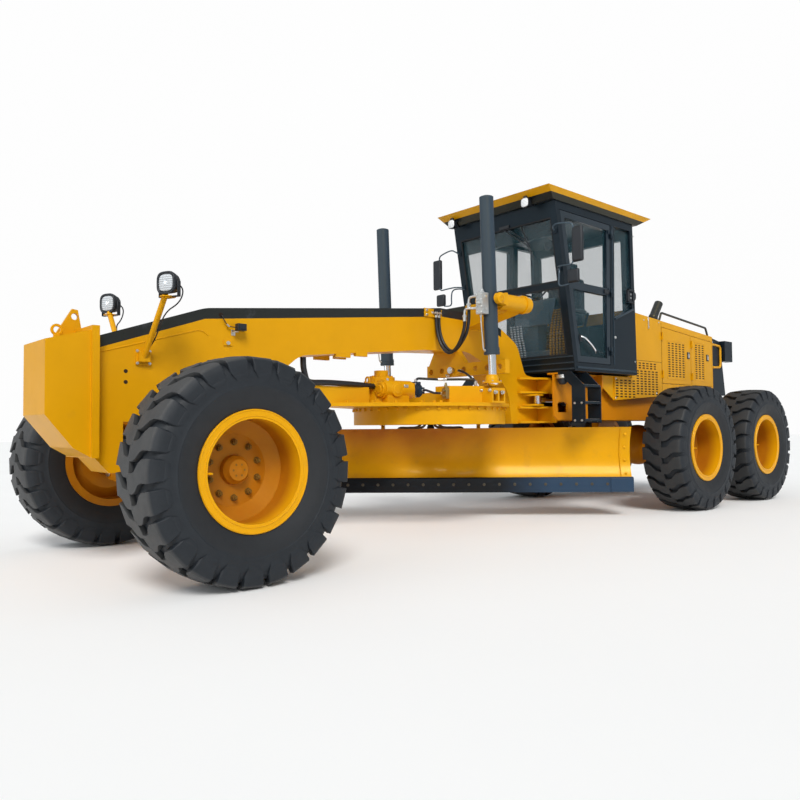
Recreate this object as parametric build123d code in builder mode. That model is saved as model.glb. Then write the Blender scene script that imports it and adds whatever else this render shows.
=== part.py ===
"""Motor grader: articulated rear frame with cab and engine, front frame with leaning steered
wheels, and a drawbar, circle and moldboard hung under the beam.

Frame: +X forward, +Y to the machine's left, +Z up, origin on the ground in the middle of the
machine.  Millimetres and degrees.
"""
import os
from math import atan2, cos, radians, sin

from build123d import *

os.makedirs("parts", exist_ok=True)

# ---------------------------------------------------------------- driving dimensions
WHEEL_BASE = 6256  # front axle to the middle of the tandem
TANDEM_SPACING = 1538  # between the two wheels of one tandem
HALF_TRACK = 1085
FRONT_X = 3435  # front axle
TANDEM_X = FRONT_X - WHEEL_BASE
TYRE_RADIUS = 665
TYRE_WIDTH = 444
BEAD_RADIUS = 324  # inside of the tyre, where it sits on the rim
BEAD_WIDTH = 344
AXLE_Z = TYRE_RADIUS

FIT = 0.3  # clearance of a pin in its bore
SEAT = 0.4  # clearance between pieces that sit on each other

BEAM_HALF = 160  # half width of the front frame
FRAME_END = TANDEM_X - 1169  # rear end of the rear frame's rails
NECK_FLANGE_X, NECK_FLANGE_T, NECK_SHELF_Y = -612, 24, 325
PIVOT_X = -800  # articulation pin
PIVOT_R = 45

KINGPIN_Y = 850
LEAN_Y, LEAN_Z = 725, 580  # lean pin of a front wheel
LEAN_BAR_Z = 840
LEAN_CYL_Y, LEAN_CYL_Z = -330, 800  # where the lean cylinder is held on the axle
KINGPIN_R = 28
ARM_REACH = 200  # steering arm behind the kingpin
TIE_Z = 605
PIN_Z = 725  # pin that carries the front axle
PIN_R = 42

BALL_X, BALL_Z = 2915, 1010  # ball at the front of the drawbar
BALL_R = 64
TRUNNION_R = 28

CIRCLE_X = 835
CIRCLE_R = 703
CIRCLE_LOW, CIRCLE_TOP = 930, 1084
CIRCLE_WALL_R = 676  # inside of the circle's wall
GEAR_LOW, GEAR_HIGH = 990, 1054  # toothed band inside the circle
GEAR_ROOT_R, TOOTH_HEIGHT, TEETH = 657, 16, 60
PINION_R, PINION_TEETH = 48, 9
WORM_Y, WORM_Z = 135, 1235  # axis of the circle drive's worm
SHOE_DROP = 8  # guide shoes under the toothed band
DECK_Z = CIRCLE_TOP + SEAT  # underside of the drawbar's plates, which the circle slides on
DECK_T = 30
GEAR_REACH = 585  # drive pinion from the circle's centre
DECK_HOLE_R = 520  # inside of the ring plate
BLADE_ANGLE = 45  # the circle as parked

EAR_X, EAR_Y, EAR_Z = 735, 690, 1300  # lower balls of the lift cylinders
EAR_HALF = 75
YOKE_X, YOKE_Z = 760, 2017  # where the yokes hold the lift barrels
LIFT_BARREL_R, LIFT_ROD_R, LIFT_BALL_R = 62, 35, 52
YOKE_BACK = YOKE_X - LIFT_BARREL_R - 13  # front face of the plate behind the lift barrel
BARREL_BELOW, BARREL_ABOVE = 482, 900

PITCH_X, PITCH_Z = -760, 430  # blade pitch pin, in the circle's frame
BLADE_LENGTH = 3950
SIDE_SHIFT = 28  # moldboard off centre as parked
BLADE_LOW, BLADE_TOP = 330, 893
BLADE_T = 20
BLADE_FACE_X = -561  # middle of the blade's chord, in the circle's frame
BLADE_SAG = 105
EDGE_LOW = 250
RAIL_X = (-695, -645)
RAILS = ((410, 450), (770, 810))  # lower and upper guide rails, from z to z
ARM_Y = (475, 510)  # blade arms, from y to y
CARRIER_Y = (440, 465)

RAIL_Y = (480, 500)  # rear frame side plates
RAIL_LOW, RAIL_TOP = 966, 1440
DECK_HALF = 540  # half width of the flanges that carry the cab
CAB_Z = 1455
CAB_TOP = 3107
CAB_HALF = 680
CAB_WALL = 55
ROOF_TOP = 3210
DOOR_GAP = 6
HOOD_HALF = 560
HOOD_T = 20
HOOD_X = (-3737, -1690)
HOOD_LOW = 1262

HITCH_X, HITCH_PIN_R = FRAME_END - 95, 25
HITCH_PLATES, HITCH_T = (1020, 1095), 25

SIDES = (("left", 1), ("right", -1))


# ---------------------------------------------------------------- helpers
def slab(outline, low, high, plane=Plane.XZ, mode=Mode.ADD, rounds=()):
    """Extrudes a closed outline in X and Z across the machine, from y = low to y = high.

    `rounds` pairs corners of the outline with the radius that each is rounded to.
    """
    with BuildSketch(plane.offset(-high)) as profile:
        with BuildLine():
            Polyline(*outline, close=True)
        make_face()
        for (x, z), radius in rounds:
            fillet(min(profile.vertices(), key=lambda v: abs(v.X - x) + abs(v.Y - z)), radius)
    extrude(profile.sketch, amount=high - low, mode=mode)


def frame_plate(outline, low, high, mode=Mode.ADD):
    """Extrudes a closed outline in Y and Z along the machine, from x = low to x = high."""
    with BuildSketch(Plane.YZ.offset(low)) as profile:
        with BuildLine():
            Polyline(*outline, close=True)
        make_face()
    extrude(profile.sketch, amount=high - low, mode=mode)


def deck_plate(outline, low, high, mode=Mode.ADD, plane=Plane.XY):
    """Extrudes a closed outline in X and Y upwards, from z = low to z = high."""
    with BuildSketch(plane.offset(low)) as profile:
        with BuildLine():
            Polyline(*outline, close=True)
        make_face()
    extrude(profile.sketch, amount=high - low, mode=mode)


def block(x, y, z, mode=Mode.ADD):
    """A box from three (low, high) pairs."""
    with Locations(((x[0] + x[1]) / 2, (y[0] + y[1]) / 2, (z[0] + z[1]) / 2)):
        Box(x[1] - x[0], y[1] - y[0], z[1] - z[0], mode=mode)


def bar(start, end, radius, mode=Mode.ADD):
    """A round bar between two points."""
    start, end = Vector(*start), Vector(*end)
    with BuildSketch(Plane(origin=start, z_dir=end - start)) as section:
        Circle(radius)
    extrude(section.sketch, amount=(end - start).length, mode=mode)


def toothed_ring(centre_x, low, high, body, teeth, count):
    """A ring of (outer, inner) radius with teeth of (middle radius, height, root width, tip width).

    The tips point inwards where the root lies outside the middle, and outwards with a negative height.
    """
    outer, inner = body
    middle, height, root, tip = teeth
    with BuildSketch(Plane.XY.offset(low)) as ring:
        with Locations((centre_x, 0)):
            Circle(outer)
            if inner:
                Circle(inner, mode=Mode.SUBTRACT)
            with PolarLocations(middle, count):
                Polygon((height / 2, -root / 2), (height / 2, root / 2), (-height / 2, tip / 2),
                        (-height / 2, -tip / 2), align=None)
    extrude(ring.sketch, amount=high - low)


def ball(centre, radius):
    with Locations(centre):
        Sphere(radius)


def bent_tube(points, radius, bend):
    """A round tube along straight runs with rounded bends."""
    with BuildLine() as path:
        FilletPolyline(*points, radius=bend)
    with BuildSketch(Plane(origin=path.line @ 0, z_dir=path.line % 0)) as section:
        Circle(radius)
    sweep(section.sketch, path=path.line)


def finish(piece, name):
    piece.part.label = name
    export_step(piece.part, f"parts/{name}.step")


def both_sides(piece, stem):
    """Writes the left piece and its mirror image as the right one."""
    with BuildPart() as other:
        mirror(piece.part, about=Plane.XZ)
    finish(piece, f"{stem}_left")
    finish(other, f"{stem}_right")


HINGE_R, HINGE_PIN_R, HINGE_STEP = 11, 6, 45


def hinge_half(foot, way, leaf, face, carries_pin):
    """Half of a butt hinge: its knuckle around the axis that starts at `foot`, and its leaf.

    `leaf` is the signed length of the leaf along X, and `face` the y of the face it lies on.
    """
    foot, way = Vector(*foot), Vector(*way).normalized()
    start = foot if carries_pin else foot + way * (HINGE_STEP + FIT)
    end = start + way * (HINGE_STEP - FIT)
    bar(start, end, HINGE_R)
    side = 1 if foot.Y > face else -1
    block(tuple(sorted((start.X, start.X + leaf))), tuple(sorted((face - side, foot.Y - side * 4))),
          (start.Z + 3, end.Z - 3))
    if carries_pin:
        bar(foot, foot + way * (2 * HINGE_STEP - FIT), HINGE_PIN_R)
    else:
        bar(start - way * 5, end + way * 5, HINGE_PIN_R + FIT, Mode.SUBTRACT)


# ---------------------------------------------------------------- wheels
# (name, x, side, lateral place of the disc, hub radius)
WHEELS = [
    (f"{row}_{side}", x, sign, disc, hub)
    for row, x, disc, hub in (
        ("front", FRONT_X, -55, 118),
        ("middle", TANDEM_X + TANDEM_SPACING / 2, -95, 150),
        ("rear", TANDEM_X - TANDEM_SPACING / 2, -95, 150),
    )
    for side, sign in SIDES
]
RIM_IN = 300  # inside of the rim's barrel
FLANGE_R = 355
FLANGE_T = 14
DISC_T = 16
HUB_DEPTH = 90  # hub behind the disc
SPINDLE_R = 55
SPINDLE_DEPTH = 75  # spindle inside the hub


def wheel_plane(x, sign):
    """Sketch plane through a wheel's centre: first coordinate outwards, second upwards."""
    return Plane(origin=(x, sign * HALF_TRACK, AXLE_Z), x_dir=(0, sign, 0), z_dir=(sign, 0, 0))


def wheel_axis(x):
    return Axis((x, 0, AXLE_Z), (0, 1, 0))


for name, x, sign, disc, hub in WHEELS:
    half = BEAD_WIDTH / 2
    with BuildPart() as tyre:
        with BuildSketch(wheel_plane(x, sign)) as section:
            with BuildLine():
                Polyline((-half, 364), (-half, BEAD_RADIUS), (half, BEAD_RADIUS), (half, 364))
                ThreePointArc((half, 364), (TYRE_WIDTH / 2, 490), (208, 612))
                Line((208, 612), (186, 650))
                ThreePointArc((186, 650), (0, TYRE_RADIUS), (-186, 650))
                Line((-186, 650), (-208, 612))
                ThreePointArc((-208, 612), (-TYRE_WIDTH / 2, 490), (-half, 364))
            make_face()
        revolve(section.sketch, axis=wheel_axis(x))
    finish(tyre, f"tyre_{name}")

    seat, edge = BEAD_RADIUS - SEAT, half + SEAT
    with BuildPart() as rim:
        with BuildSketch(wheel_plane(x, sign)) as section:
            with BuildLine():
                Polyline(
                    (edge + FLANGE_T, RIM_IN),
                    (edge + FLANGE_T, FLANGE_R),
                    (edge, FLANGE_R),
                    (edge, seat),
                    (-edge, seat),
                    (-edge, FLANGE_R),
                    (-edge - FLANGE_T, FLANGE_R),
                    (-edge - FLANGE_T, RIM_IN),
                    (disc + 10, RIM_IN),
                    (disc - DISC_T - 20, 215),
                    (disc - DISC_T - 20, hub),
                    (disc - HUB_DEPTH - DISC_T, hub),
                    (disc - HUB_DEPTH - DISC_T, SPINDLE_R + FIT),
                    (disc - HUB_DEPTH - DISC_T + SPINDLE_DEPTH, SPINDLE_R + FIT),
                    (disc - HUB_DEPTH - DISC_T + SPINDLE_DEPTH, 0),
                    (disc + 42, 0),
                    (disc + 34, 62),
                    (disc + 12, 84),
                    (disc - 18, 90),
                    (disc - 18, 215),
                    (disc + 26, RIM_IN),
                    close=True,
                )
            make_face()
        revolve(section.sketch, axis=wheel_axis(x))
    finish(rim, f"rim_{name}")

# ---------------------------------------------------------------- front frame
with BuildPart() as front_frame:
    slab(
        [
            (3947, 731), (3947, 1505), (3185, 1765), (1035, 1982), (835, 2005), (235, 1985),
            (-49, 1863), (-266, 1737), (-388, 1435), (-570, 1411), (-649, 1182), (-625, 935),
            (-165, 935), (-125, 1250), (105, 1470), (485, 1625), (1035, 1604), (2385, 1474),
            (2795, 1150), (3015, 1130), (3015, 630), (3105, 630), (3105, 960), (3765, 960),
            (3765, 630), (3855, 630),
        ],
        -BEAM_HALF, BEAM_HALF,
        rounds=(((3185, 1765), 400), ((235, 1985), 400), ((-49, 1863), 400), ((-266, 1737), 200),
                ((-388, 1435), 80), ((-570, 1411), 60), ((-649, 1182), 300), ((-125, 1250), 300),
                ((105, 1470), 350), ((485, 1625), 400), ((2385, 1474), 250), ((2795, 1150), 150)),
    )
    # curved flange down the rear of the neck, with its shelves; the articulation cylinders pass between
    for _, sign in SIDES:
        for low, high, narrow, wide in ((1242, 1405, 330, 405), (940, 1108, 405, 385)):
            inner, below, above = (sign * y for y in (BEAM_HALF - 1, narrow, wide))
            frame_plate([(inner, high), (below, high), (above, low), (inner, low)] if low > 1200 else
                        [(inner, high), (below, high), (below, low + 60), (above, low), (inner, low)],
                        NECK_FLANGE_X, NECK_FLANGE_X + NECK_FLANGE_T)
        for z in (1242, 1088, 940, 1385):
            deck_plate([(NECK_FLANGE_X, sign * (BEAM_HALF - 1)), (NECK_FLANGE_X, sign * NECK_SHELF_Y),
                        (NECK_FLANGE_X + 60, sign * NECK_SHELF_Y), (-260, sign * (BEAM_HALF + 40)),
                        (-260, sign * (BEAM_HALF - 1))], z, z + 20)
    # pin for the front axle
    bar((3015, 0, PIN_Z), (3855, 0, PIN_Z), PIN_R)
    # lugs for the ball at the front of the drawbar
    for low, high in ((910, 940), (1080, 1110)):
        deck_plate([(3016, -90), (2915, -50), (2915, 50), (3016, 90)], low, high)
        bar((BALL_X, 0, low), (BALL_X, 0, high), 50)
    bar((BALL_X, 0, 900), (BALL_X, 0, 1120), TRUNNION_R + FIT, Mode.SUBTRACT)
    # lugs for the articulation pin
    for low, high in ((1028, 1088), (1262, 1322)):
        deck_plate([(-600, -150), (PIVOT_X, -85), (PIVOT_X, 85), (-600, 150)], low, high)
        bar((PIVOT_X, 0, low), (PIVOT_X, 0, high), 85)
    bar((PIVOT_X, 0, 1000), (PIVOT_X, 0, 1350), PIVOT_R + FIT, Mode.SUBTRACT)
    # saddle with the two bearing tubes that hold the lift yokes
    frame_plate([(-700, 1950), (-700, 2060), (700, 2060), (700, 1950), (160, 1840), (-160, 1840)], 300, 500)
    for _, sign in SIDES:
        bar((246, sign * 700, YOKE_Z), (YOKE_BACK - 40, sign * 700, YOKE_Z), 72)
        bar((300, sign * 700, YOKE_Z), (YOKE_BACK - 25, sign * 700, YOKE_Z), 50 + FIT, Mode.SUBTRACT)
        # clevis for the articulation cylinder
        for low, high in ((1115, 1133), (1217, 1235)):
            deck_plate([(-600, sign * 150), (-510, sign * 300), (-400, sign * 310), (-330, sign * 150)],
                       low, high)
        # bolted cap over the bearing tube
        bar((300, sign * 700, YOKE_Z), (330, sign * 700, YOKE_Z), 84)
        bar((290, sign * 700, YOKE_Z), (340, sign * 700, YOKE_Z), 50 + FIT, Mode.SUBTRACT)
    # clip for the hoses on the beam's left side
    block((830, 1047), (BEAM_HALF - 1, BEAM_HALF + 12), (1908, 1984))
    block((866, 930), (BEAM_HALF + 11, BEAM_HALF + 40), (1925, 1985))
    # link bar with its lock holes, hung under the beam
    block((555, 615), (-250, 740), (1380, 1500))
    frame_plate([(-230, 1499), (-150, 1640), (150, 1640), (260, 1499)], 560, 610)
    for step in range(7):
        y = -195 + step * 145
        bar((540, y, 1440), (630, y, 1440), 27, Mode.SUBTRACT)
    # nose block bolted to the frame's front plate
    slab([(4264, 1004), (4264, 1462), (3991, 1538), (3991, 735), (4098, 798)], -225, 225)
    block((3946, 3992), (-245, 245), (731, 1566))
    # lifting plate with its hole, and the towing eye
    slab([(3950, 1566), (3975, 1700), (4010, 1705), (4130, 1500), (3950, 1500)], -110, -80)
    bar((3995, -60, 1655), (3995, -130, 1655), 22, Mode.SUBTRACT)
finish(front_frame, "front_frame")

HOSE_R = 14
HOSE_Y = BEAM_HALF + 26
with BuildPart() as lamps_and_hoses:
    # two hoses that hang from the clip on the beam and rise towards the left lift cylinder
    for shift, rise_y, rise_z in ((0, 560, 1985), (34, 540, 1880)):
        x = 880 + shift
        bent_tube([(x, HOSE_Y, 1924), (x, HOSE_Y, 1780), (x - 12, HOSE_Y + 60, 1640 - shift / 2),
                   (x - 16, 340, 1572 - shift / 2), (x - 12, 450, 1640 - shift / 2), (x - 4, rise_y, 1780),
                   (x, rise_y, rise_z)], HOSE_R, 70)
    for _, sign in SIDES:
        bar((3636, sign * (BEAM_HALF + 22), 1385), (3622, sign * 480, 1775), 18)
        block((3590, 3680), (sign * 175 - 15 + 0.4 * sign, sign * 175 + 15 + 0.4 * sign), (1330, 1420))
        bar((3560, sign * 500, 1835), (3650, sign * 500, 1835), 74)
        bar((3622, sign * 482, 1768), (3622, sign * 482, 1774), 46)
        bar((3622, sign * 484, 1765), (3622, sign * 494, 1800), 16)
finish(lamps_and_hoses, "lamps_and_hoses")

# ---------------------------------------------------------------- front axle and steering
with BuildPart() as front_axle:
    half = [(0, 590), (300, 560), (560, 522), (640, 522), (640, 622), (520, 650), (300, 745), (0, 785)]
    frame_plate(half + [(-y, z) for y, z in reversed(half[1:-1])], FRONT_X - 90, FRONT_X + 90)
    bar((FRONT_X - 105, 0, PIN_Z), (FRONT_X + 95, 0, PIN_Z), 70)
    bar((FRONT_X - 115, 0, PIN_Z), (FRONT_X + 105, 0, PIN_Z), PIN_R + FIT, Mode.SUBTRACT)
    for _, sign in SIDES:
        for low in (-88, 62):
            frame_plate(
                [(sign * y, z) for y, z in ((600, 525), (LEAN_Y, LEAN_Z - 50), (LEAN_Y, LEAN_Z + 50), (600, 622))],
                FRONT_X + low, FRONT_X + low + 26,
            )
            bar((FRONT_X + low, sign * LEAN_Y, LEAN_Z), (FRONT_X + low + 26, sign * LEAN_Y, LEAN_Z), 50)
        bar((FRONT_X - 96, sign * LEAN_Y, LEAN_Z), (FRONT_X + 96, sign * LEAN_Y, LEAN_Z), 30)
    # ear and stud that carry the lean cylinder
    frame_plate([(-410, 690), (LEAN_CYL_Y - 34, LEAN_CYL_Z), (LEAN_CYL_Y + 34, LEAN_CYL_Z), (-250, 690)],
                FRONT_X + 40, FRONT_X + 90)
    bar((FRONT_X + 40, LEAN_CYL_Y, LEAN_CYL_Z), (FRONT_X + 90, LEAN_CYL_Y, LEAN_CYL_Z), 34)
    bar((FRONT_X + 80, LEAN_CYL_Y, LEAN_CYL_Z), (FRONT_X + 164, LEAN_CYL_Y, LEAN_CYL_Z), 20)
finish(front_axle, "front_axle")

with BuildPart() as lean_bracket:
    frame_plate(
        [(692, 525), (795, 525), (795, 800), (762, 880), (692, 880)], FRONT_X - 60, FRONT_X + 60
    )
    for low, high in ((535, 570), (760, 795)):
        block((FRONT_X - 50, FRONT_X + 50), (780, KINGPIN_Y), (low, high))
        bar((FRONT_X, KINGPIN_Y, low), (FRONT_X, KINGPIN_Y, high), 50)
    bar((FRONT_X, KINGPIN_Y, 540), (FRONT_X, KINGPIN_Y, 790), KINGPIN_R)
    bar((FRONT_X - 84, LEAN_Y, LEAN_BAR_Z), (FRONT_X + 112, LEAN_Y, LEAN_BAR_Z), 22)
    bar((FRONT_X - 70, LEAN_Y, LEAN_Z), (FRONT_X + 70, LEAN_Y, LEAN_Z), 30 + FIT, Mode.SUBTRACT)
both_sides(lean_bracket, "lean_bracket")

with BuildPart() as lean_bar:
    bar((FRONT_X, -645, LEAN_BAR_Z), (FRONT_X, 645, LEAN_BAR_Z), 28)
    for _, sign in SIDES:
        block((FRONT_X - 80, FRONT_X + 80), tuple(sorted((sign * 635, sign * 655))),
              (LEAN_BAR_Z - 32, LEAN_BAR_Z + 32))
        for low in (-80, 62):
            block((FRONT_X + low, FRONT_X + low + 18), tuple(sorted((sign * 650, sign * LEAN_Y))),
                  (LEAN_BAR_Z - 32, LEAN_BAR_Z + 32))
            bar((FRONT_X + low, sign * LEAN_Y, LEAN_BAR_Z),
                (FRONT_X + low + 18, sign * LEAN_Y, LEAN_BAR_Z), 38)
        bar((FRONT_X - 90, sign * LEAN_Y, LEAN_BAR_Z), (FRONT_X + 90, sign * LEAN_Y, LEAN_BAR_Z), 22 + FIT,
            Mode.SUBTRACT)
finish(lean_bar, "lean_bar")

# knuckles: spindle, kingpin boss and steering arm
HUB_FACE = HALF_TRACK - 55 - DISC_T - HUB_DEPTH
for side, sign in SIDES:
    with BuildPart() as knuckle:
        bar((FRONT_X, sign * KINGPIN_Y, 573), (FRONT_X, sign * KINGPIN_Y, 757), 50)
        bar((FRONT_X, sign * KINGPIN_Y, AXLE_Z), (FRONT_X, sign * (HUB_FACE + SPINDLE_DEPTH - SEAT), AXLE_Z),
            SPINDLE_R)
        bar((FRONT_X, sign * (HUB_FACE - 24), AXLE_Z), (FRONT_X, sign * (HUB_FACE - 2), AXLE_Z), 100)
        deck_plate(
            [(FRONT_X + x, sign * (KINGPIN_Y + y)) for x, y in
             ((-20, 40), (-60, 25), (-175, -28), (-225, -20), (-228, 30), (-120, 72), (-40, 72))],
            645, 685,
        )
        bar((FRONT_X - ARM_REACH, sign * KINGPIN_Y, 645), (FRONT_X - ARM_REACH, sign * KINGPIN_Y, 685), 34)
        bar((FRONT_X, sign * KINGPIN_Y, 560), (FRONT_X, sign * KINGPIN_Y, 780),
            KINGPIN_R + FIT, Mode.SUBTRACT)
        if sign > 0:
            bar((FRONT_X - ARM_REACH, KINGPIN_Y, 600), (FRONT_X - ARM_REACH, KINGPIN_Y, 700), 14 + FIT,
                Mode.SUBTRACT)
        else:
            bar((FRONT_X - ARM_REACH, -KINGPIN_Y, TIE_Z - 24), (FRONT_X - ARM_REACH, -KINGPIN_Y, 650), 25)
    finish(knuckle, f"knuckle_{side}")

TIE_X = FRONT_X - ARM_REACH
with BuildPart() as tie_rod_end:
    bar((TIE_X, KINGPIN_Y, TIE_Z - 22), (TIE_X, KINGPIN_Y, 644.6), 25)
    bar((TIE_X, KINGPIN_Y, 640), (TIE_X, KINGPIN_Y, 692), 14)
    bar((TIE_X - 43, KINGPIN_Y, TIE_Z), (TIE_X + 43, KINGPIN_Y, TIE_Z), 14)
finish(tie_rod_end, "tie_rod_end")

with BuildPart() as tie_rod:
    bar((TIE_X, -775, TIE_Z), (TIE_X, 775, TIE_Z), 20)
    for _, sign in SIDES:
        block((TIE_X - 42, TIE_X + 42), tuple(sorted((sign * 765, sign * 785))), (TIE_Z - 20, TIE_Z + 20))
        for low in (-42, 31):
            block((TIE_X + low, TIE_X + low + 11), tuple(sorted((sign * 780, sign * KINGPIN_Y))),
                  (TIE_Z - 20, TIE_Z + 20))
            bar((TIE_X + low, sign * KINGPIN_Y, TIE_Z), (TIE_X + low + 11, sign * KINGPIN_Y, TIE_Z), 20)
    for _, sign in SIDES:
        bar((TIE_X - 60, sign * KINGPIN_Y, TIE_Z), (TIE_X + 60, sign * KINGPIN_Y, TIE_Z),
            14 + FIT, Mode.SUBTRACT)
finish(tie_rod, "tie_rod")


def cylinder_barrel(pivot, eye, along, length, radius, rod_radius, lug_radius, pin_radius, width):
    """A barrel from its pivot pin towards the rod's eye, open at its gland end."""
    pivot, eye = Vector(*pivot), Vector(*eye)
    way = (eye - pivot).normalized()
    bar(pivot, pivot + way * length, radius)
    bar(pivot + way * (length - 40), pivot + way * length, radius + 8)
    bar(pivot + way * (lug_radius + 30), pivot + way * (length + 10), rod_radius + FIT, Mode.SUBTRACT)
    side = Vector(*along) * (width / 2)
    bar(pivot - side, pivot + side, lug_radius)
    bar(pivot - side * 2, pivot + side * 2, pin_radius + FIT, Mode.SUBTRACT)
    # flats beside the pivot, so that the barrel fits between its ears
    for sign in (1, -1):
        with BuildSketch(Plane(origin=pivot + side * sign, z_dir=side * sign)) as cut:
            Circle(radius * 2.6)
        extrude(cut.sketch, amount=radius * 2, mode=Mode.SUBTRACT)


def cylinder_rod(pivot, eye, start, along, radius, eye_radius, width):
    """A rod inside its barrel, from `start` along the barrel to its eye."""
    pivot, eye = Vector(*pivot), Vector(*eye)
    way = (eye - pivot).normalized()
    bar(pivot + way * start, eye, radius)
    side = Vector(*along) * (width / 2)
    bar(eye - side, eye + side, eye_radius)


LEAN_CYL_X = FRONT_X + 140
LEAN_CYL = ((LEAN_CYL_X, LEAN_CYL_Y, LEAN_CYL_Z), (LEAN_CYL_X, LEAN_Y, LEAN_BAR_Z))
with BuildPart() as lean_cylinder_barrel:
    cylinder_barrel(*LEAN_CYL, (1, 0, 0), 700, 38, 20, 38, 20, 40)
finish(lean_cylinder_barrel, "lean_cylinder_barrel")
with BuildPart() as lean_cylinder_rod:
    cylinder_rod(*LEAN_CYL, 520, (1, 0, 0), 20, 36, 30)
finish(lean_cylinder_rod, "lean_cylinder_rod")

# ---------------------------------------------------------------- drawbar and circle
with BuildPart() as drawbar_ball:
    ball((BALL_X, 0, BALL_Z), BALL_R)
    bar((BALL_X, 0, BALL_Z - 98), (BALL_X, 0, BALL_Z + 98), TRUNNION_R)
    bar((BALL_X, -98, BALL_Z), (BALL_X, 98, BALL_Z), TRUNNION_R)
finish(drawbar_ball, "drawbar_ball")

LEG_TOP, LEG_FRONT = 1262, 1075
with BuildPart() as drawbar:
    for _, sign in SIDES:
        low, high = sorted((sign * 70, sign * 98))
        bar((BALL_X, low, BALL_Z), (BALL_X, high, BALL_Z), 50)
        slab([(BALL_X, BALL_Z - 45), (BALL_X, BALL_Z + 45), (2740, BALL_Z + 60), (2740, BALL_Z - 60)],
             low, high)
    bar((BALL_X, -110, BALL_Z), (BALL_X, 110, BALL_Z), TRUNNION_R + FIT, Mode.SUBTRACT)
    slab([(2780, 950), (2780, 1070), (2235, 1250), (1640, 1250), (1640, DECK_Z + DECK_T), (2150, DECK_Z + DECK_T),
          (2300, 1070)], -98, 98)
    # deck under the circle drive, and the ring plate over the circle
    deck = [(2050, 98), (1500, 440), (1200, 620)]
    deck_plate(deck + [(x, -y) for x, y in reversed(deck)], DECK_Z, DECK_Z + DECK_T)
    with BuildSketch(Plane.XY.offset(DECK_Z)) as ring:
        with Locations((CIRCLE_X, 0)):
            Circle(CIRCLE_R + 37)
            Circle(DECK_HOLE_R, mode=Mode.SUBTRACT)
    extrude(ring.sketch, amount=DECK_T)
    bar((CIRCLE_X + GEAR_REACH, 0, DECK_Z - 1), (CIRCLE_X + GEAR_REACH, 0, DECK_Z + DECK_T + 1),
        72, Mode.SUBTRACT)
    # guide shoes that reach under the circle's toothed band
    shoe_low, lip = GEAR_LOW - SHOE_DROP - 18, GEAR_LOW - SHOE_DROP
    for angle in (45, 135, 225, 315):
        around = Plane(origin=(CIRCLE_X, 0, 0), z_dir=(0, 0, 1),
                       x_dir=(cos(radians(angle)), sin(radians(angle)), 0))
        deck_plate([(560, -70), (560, 70), (628, 70), (628, -70)], shoe_low, DECK_Z + 1, plane=around)
        deck_plate([(600, -70), (600, 70), (665, 70), (665, -70)], shoe_low, lip, plane=around)
    # box legs from the deck to the rear crossbeam
    for _, sign in SIDES:
        leg = [(LEG_FRONT, 330), (LEG_FRONT, 500), (805, 655), (665, 655), (665, 560), (860, 450)]
        deck_plate([(x, sign * y) for x, y in leg], DECK_Z + DECK_T - 1, LEG_TOP)
        # seat for the lift cylinder's ball, open between its upright webs
        low, high = sorted((sign * (EAR_Y - 75), sign * (EAR_Y + EAR_HALF)))
        ear_top = EAR_Z - LIFT_BALL_R - 6
        block((EAR_X - 85, EAR_X + 85), (low, high), (DECK_Z + DECK_T - 1, ear_top))
        low, high = sorted((sign * (EAR_Y - 35), sign * (EAR_Y + EAR_HALF + 5)))
        for x in (EAR_X - 69, EAR_X + 9):
            block((x, x + 60), (low, high), (DECK_Z + DECK_T + 14, ear_top - 24), Mode.SUBTRACT)
    block((665, 805), (-640, 640), (DECK_Z + DECK_T - 1, 1230))
finish(drawbar, "drawbar")

GEAR_X = CIRCLE_X + GEAR_REACH
with BuildPart() as circle_drive:
    floor = DECK_Z + DECK_T + SEAT
    for z, radius, height in ((floor, 168, 40), (floor + 40, 150, 120), (floor + 160, 165, 22),
                              (floor + 182, 120, 50), (floor + 232, 62, 60)):
        bar((GEAR_X, 0, z), (GEAR_X, 0, z + height), radius)
    bar((GEAR_X, 0, GEAR_HIGH), (GEAR_X, 0, floor + 10), 34)
    toothed_ring(GEAR_X, GEAR_LOW, GEAR_HIGH + 1, (PINION_R - 11, 0), (PINION_R - 6, -12, 20, 9), PINION_TEETH)
    # worm case with its cover, and the hydraulic motor behind it
    bar((GEAR_X + 120, WORM_Y, WORM_Z), (GEAR_X - 205, WORM_Y, WORM_Z), 82)
    bar((GEAR_X + 119, WORM_Y, WORM_Z), (GEAR_X + 134, WORM_Y, WORM_Z), 68)
    block((GEAR_X - 226, GEAR_X - 204), (WORM_Y - 62, WORM_Y + 62), (WORM_Z - 62, WORM_Z + 62))
    bar((GEAR_X - 220, WORM_Y, WORM_Z), (GEAR_X - 325, WORM_Y, WORM_Z), 56)
    block((GEAR_X - 150, GEAR_X + 100), (60, 200), (floor, 1200))
    # lifting loop on the case
    bent_tube([(GEAR_X + 155, -26, floor + 20), (GEAR_X + 155, -26, 1345), (GEAR_X + 155, 26, 1345),
               (GEAR_X + 155, 26, floor + 20)], 8, 24)
    # pressure hoses from the motor to their fittings on the left leg
    motor = GEAR_X - 290
    bent_tube([(motor, WORM_Y, WORM_Z + 50), (motor, WORM_Y, 1345), (motor - 130, 300, 1330),
               (860, 430, 1330), (760, 520, 1325), (760, 520, LEG_TOP + SEAT)], 11, 30)
    bent_tube([(motor - 20, WORM_Y + 50, WORM_Z), (motor - 20, WORM_Y + 110, WORM_Z), (LEG_FRONT + 37, 350, 1205),
               (LEG_FRONT + 37, 430, 1200), (LEG_FRONT + SEAT, 430, 1200)], 10, 20)
finish(circle_drive, "circle_drive")

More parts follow.
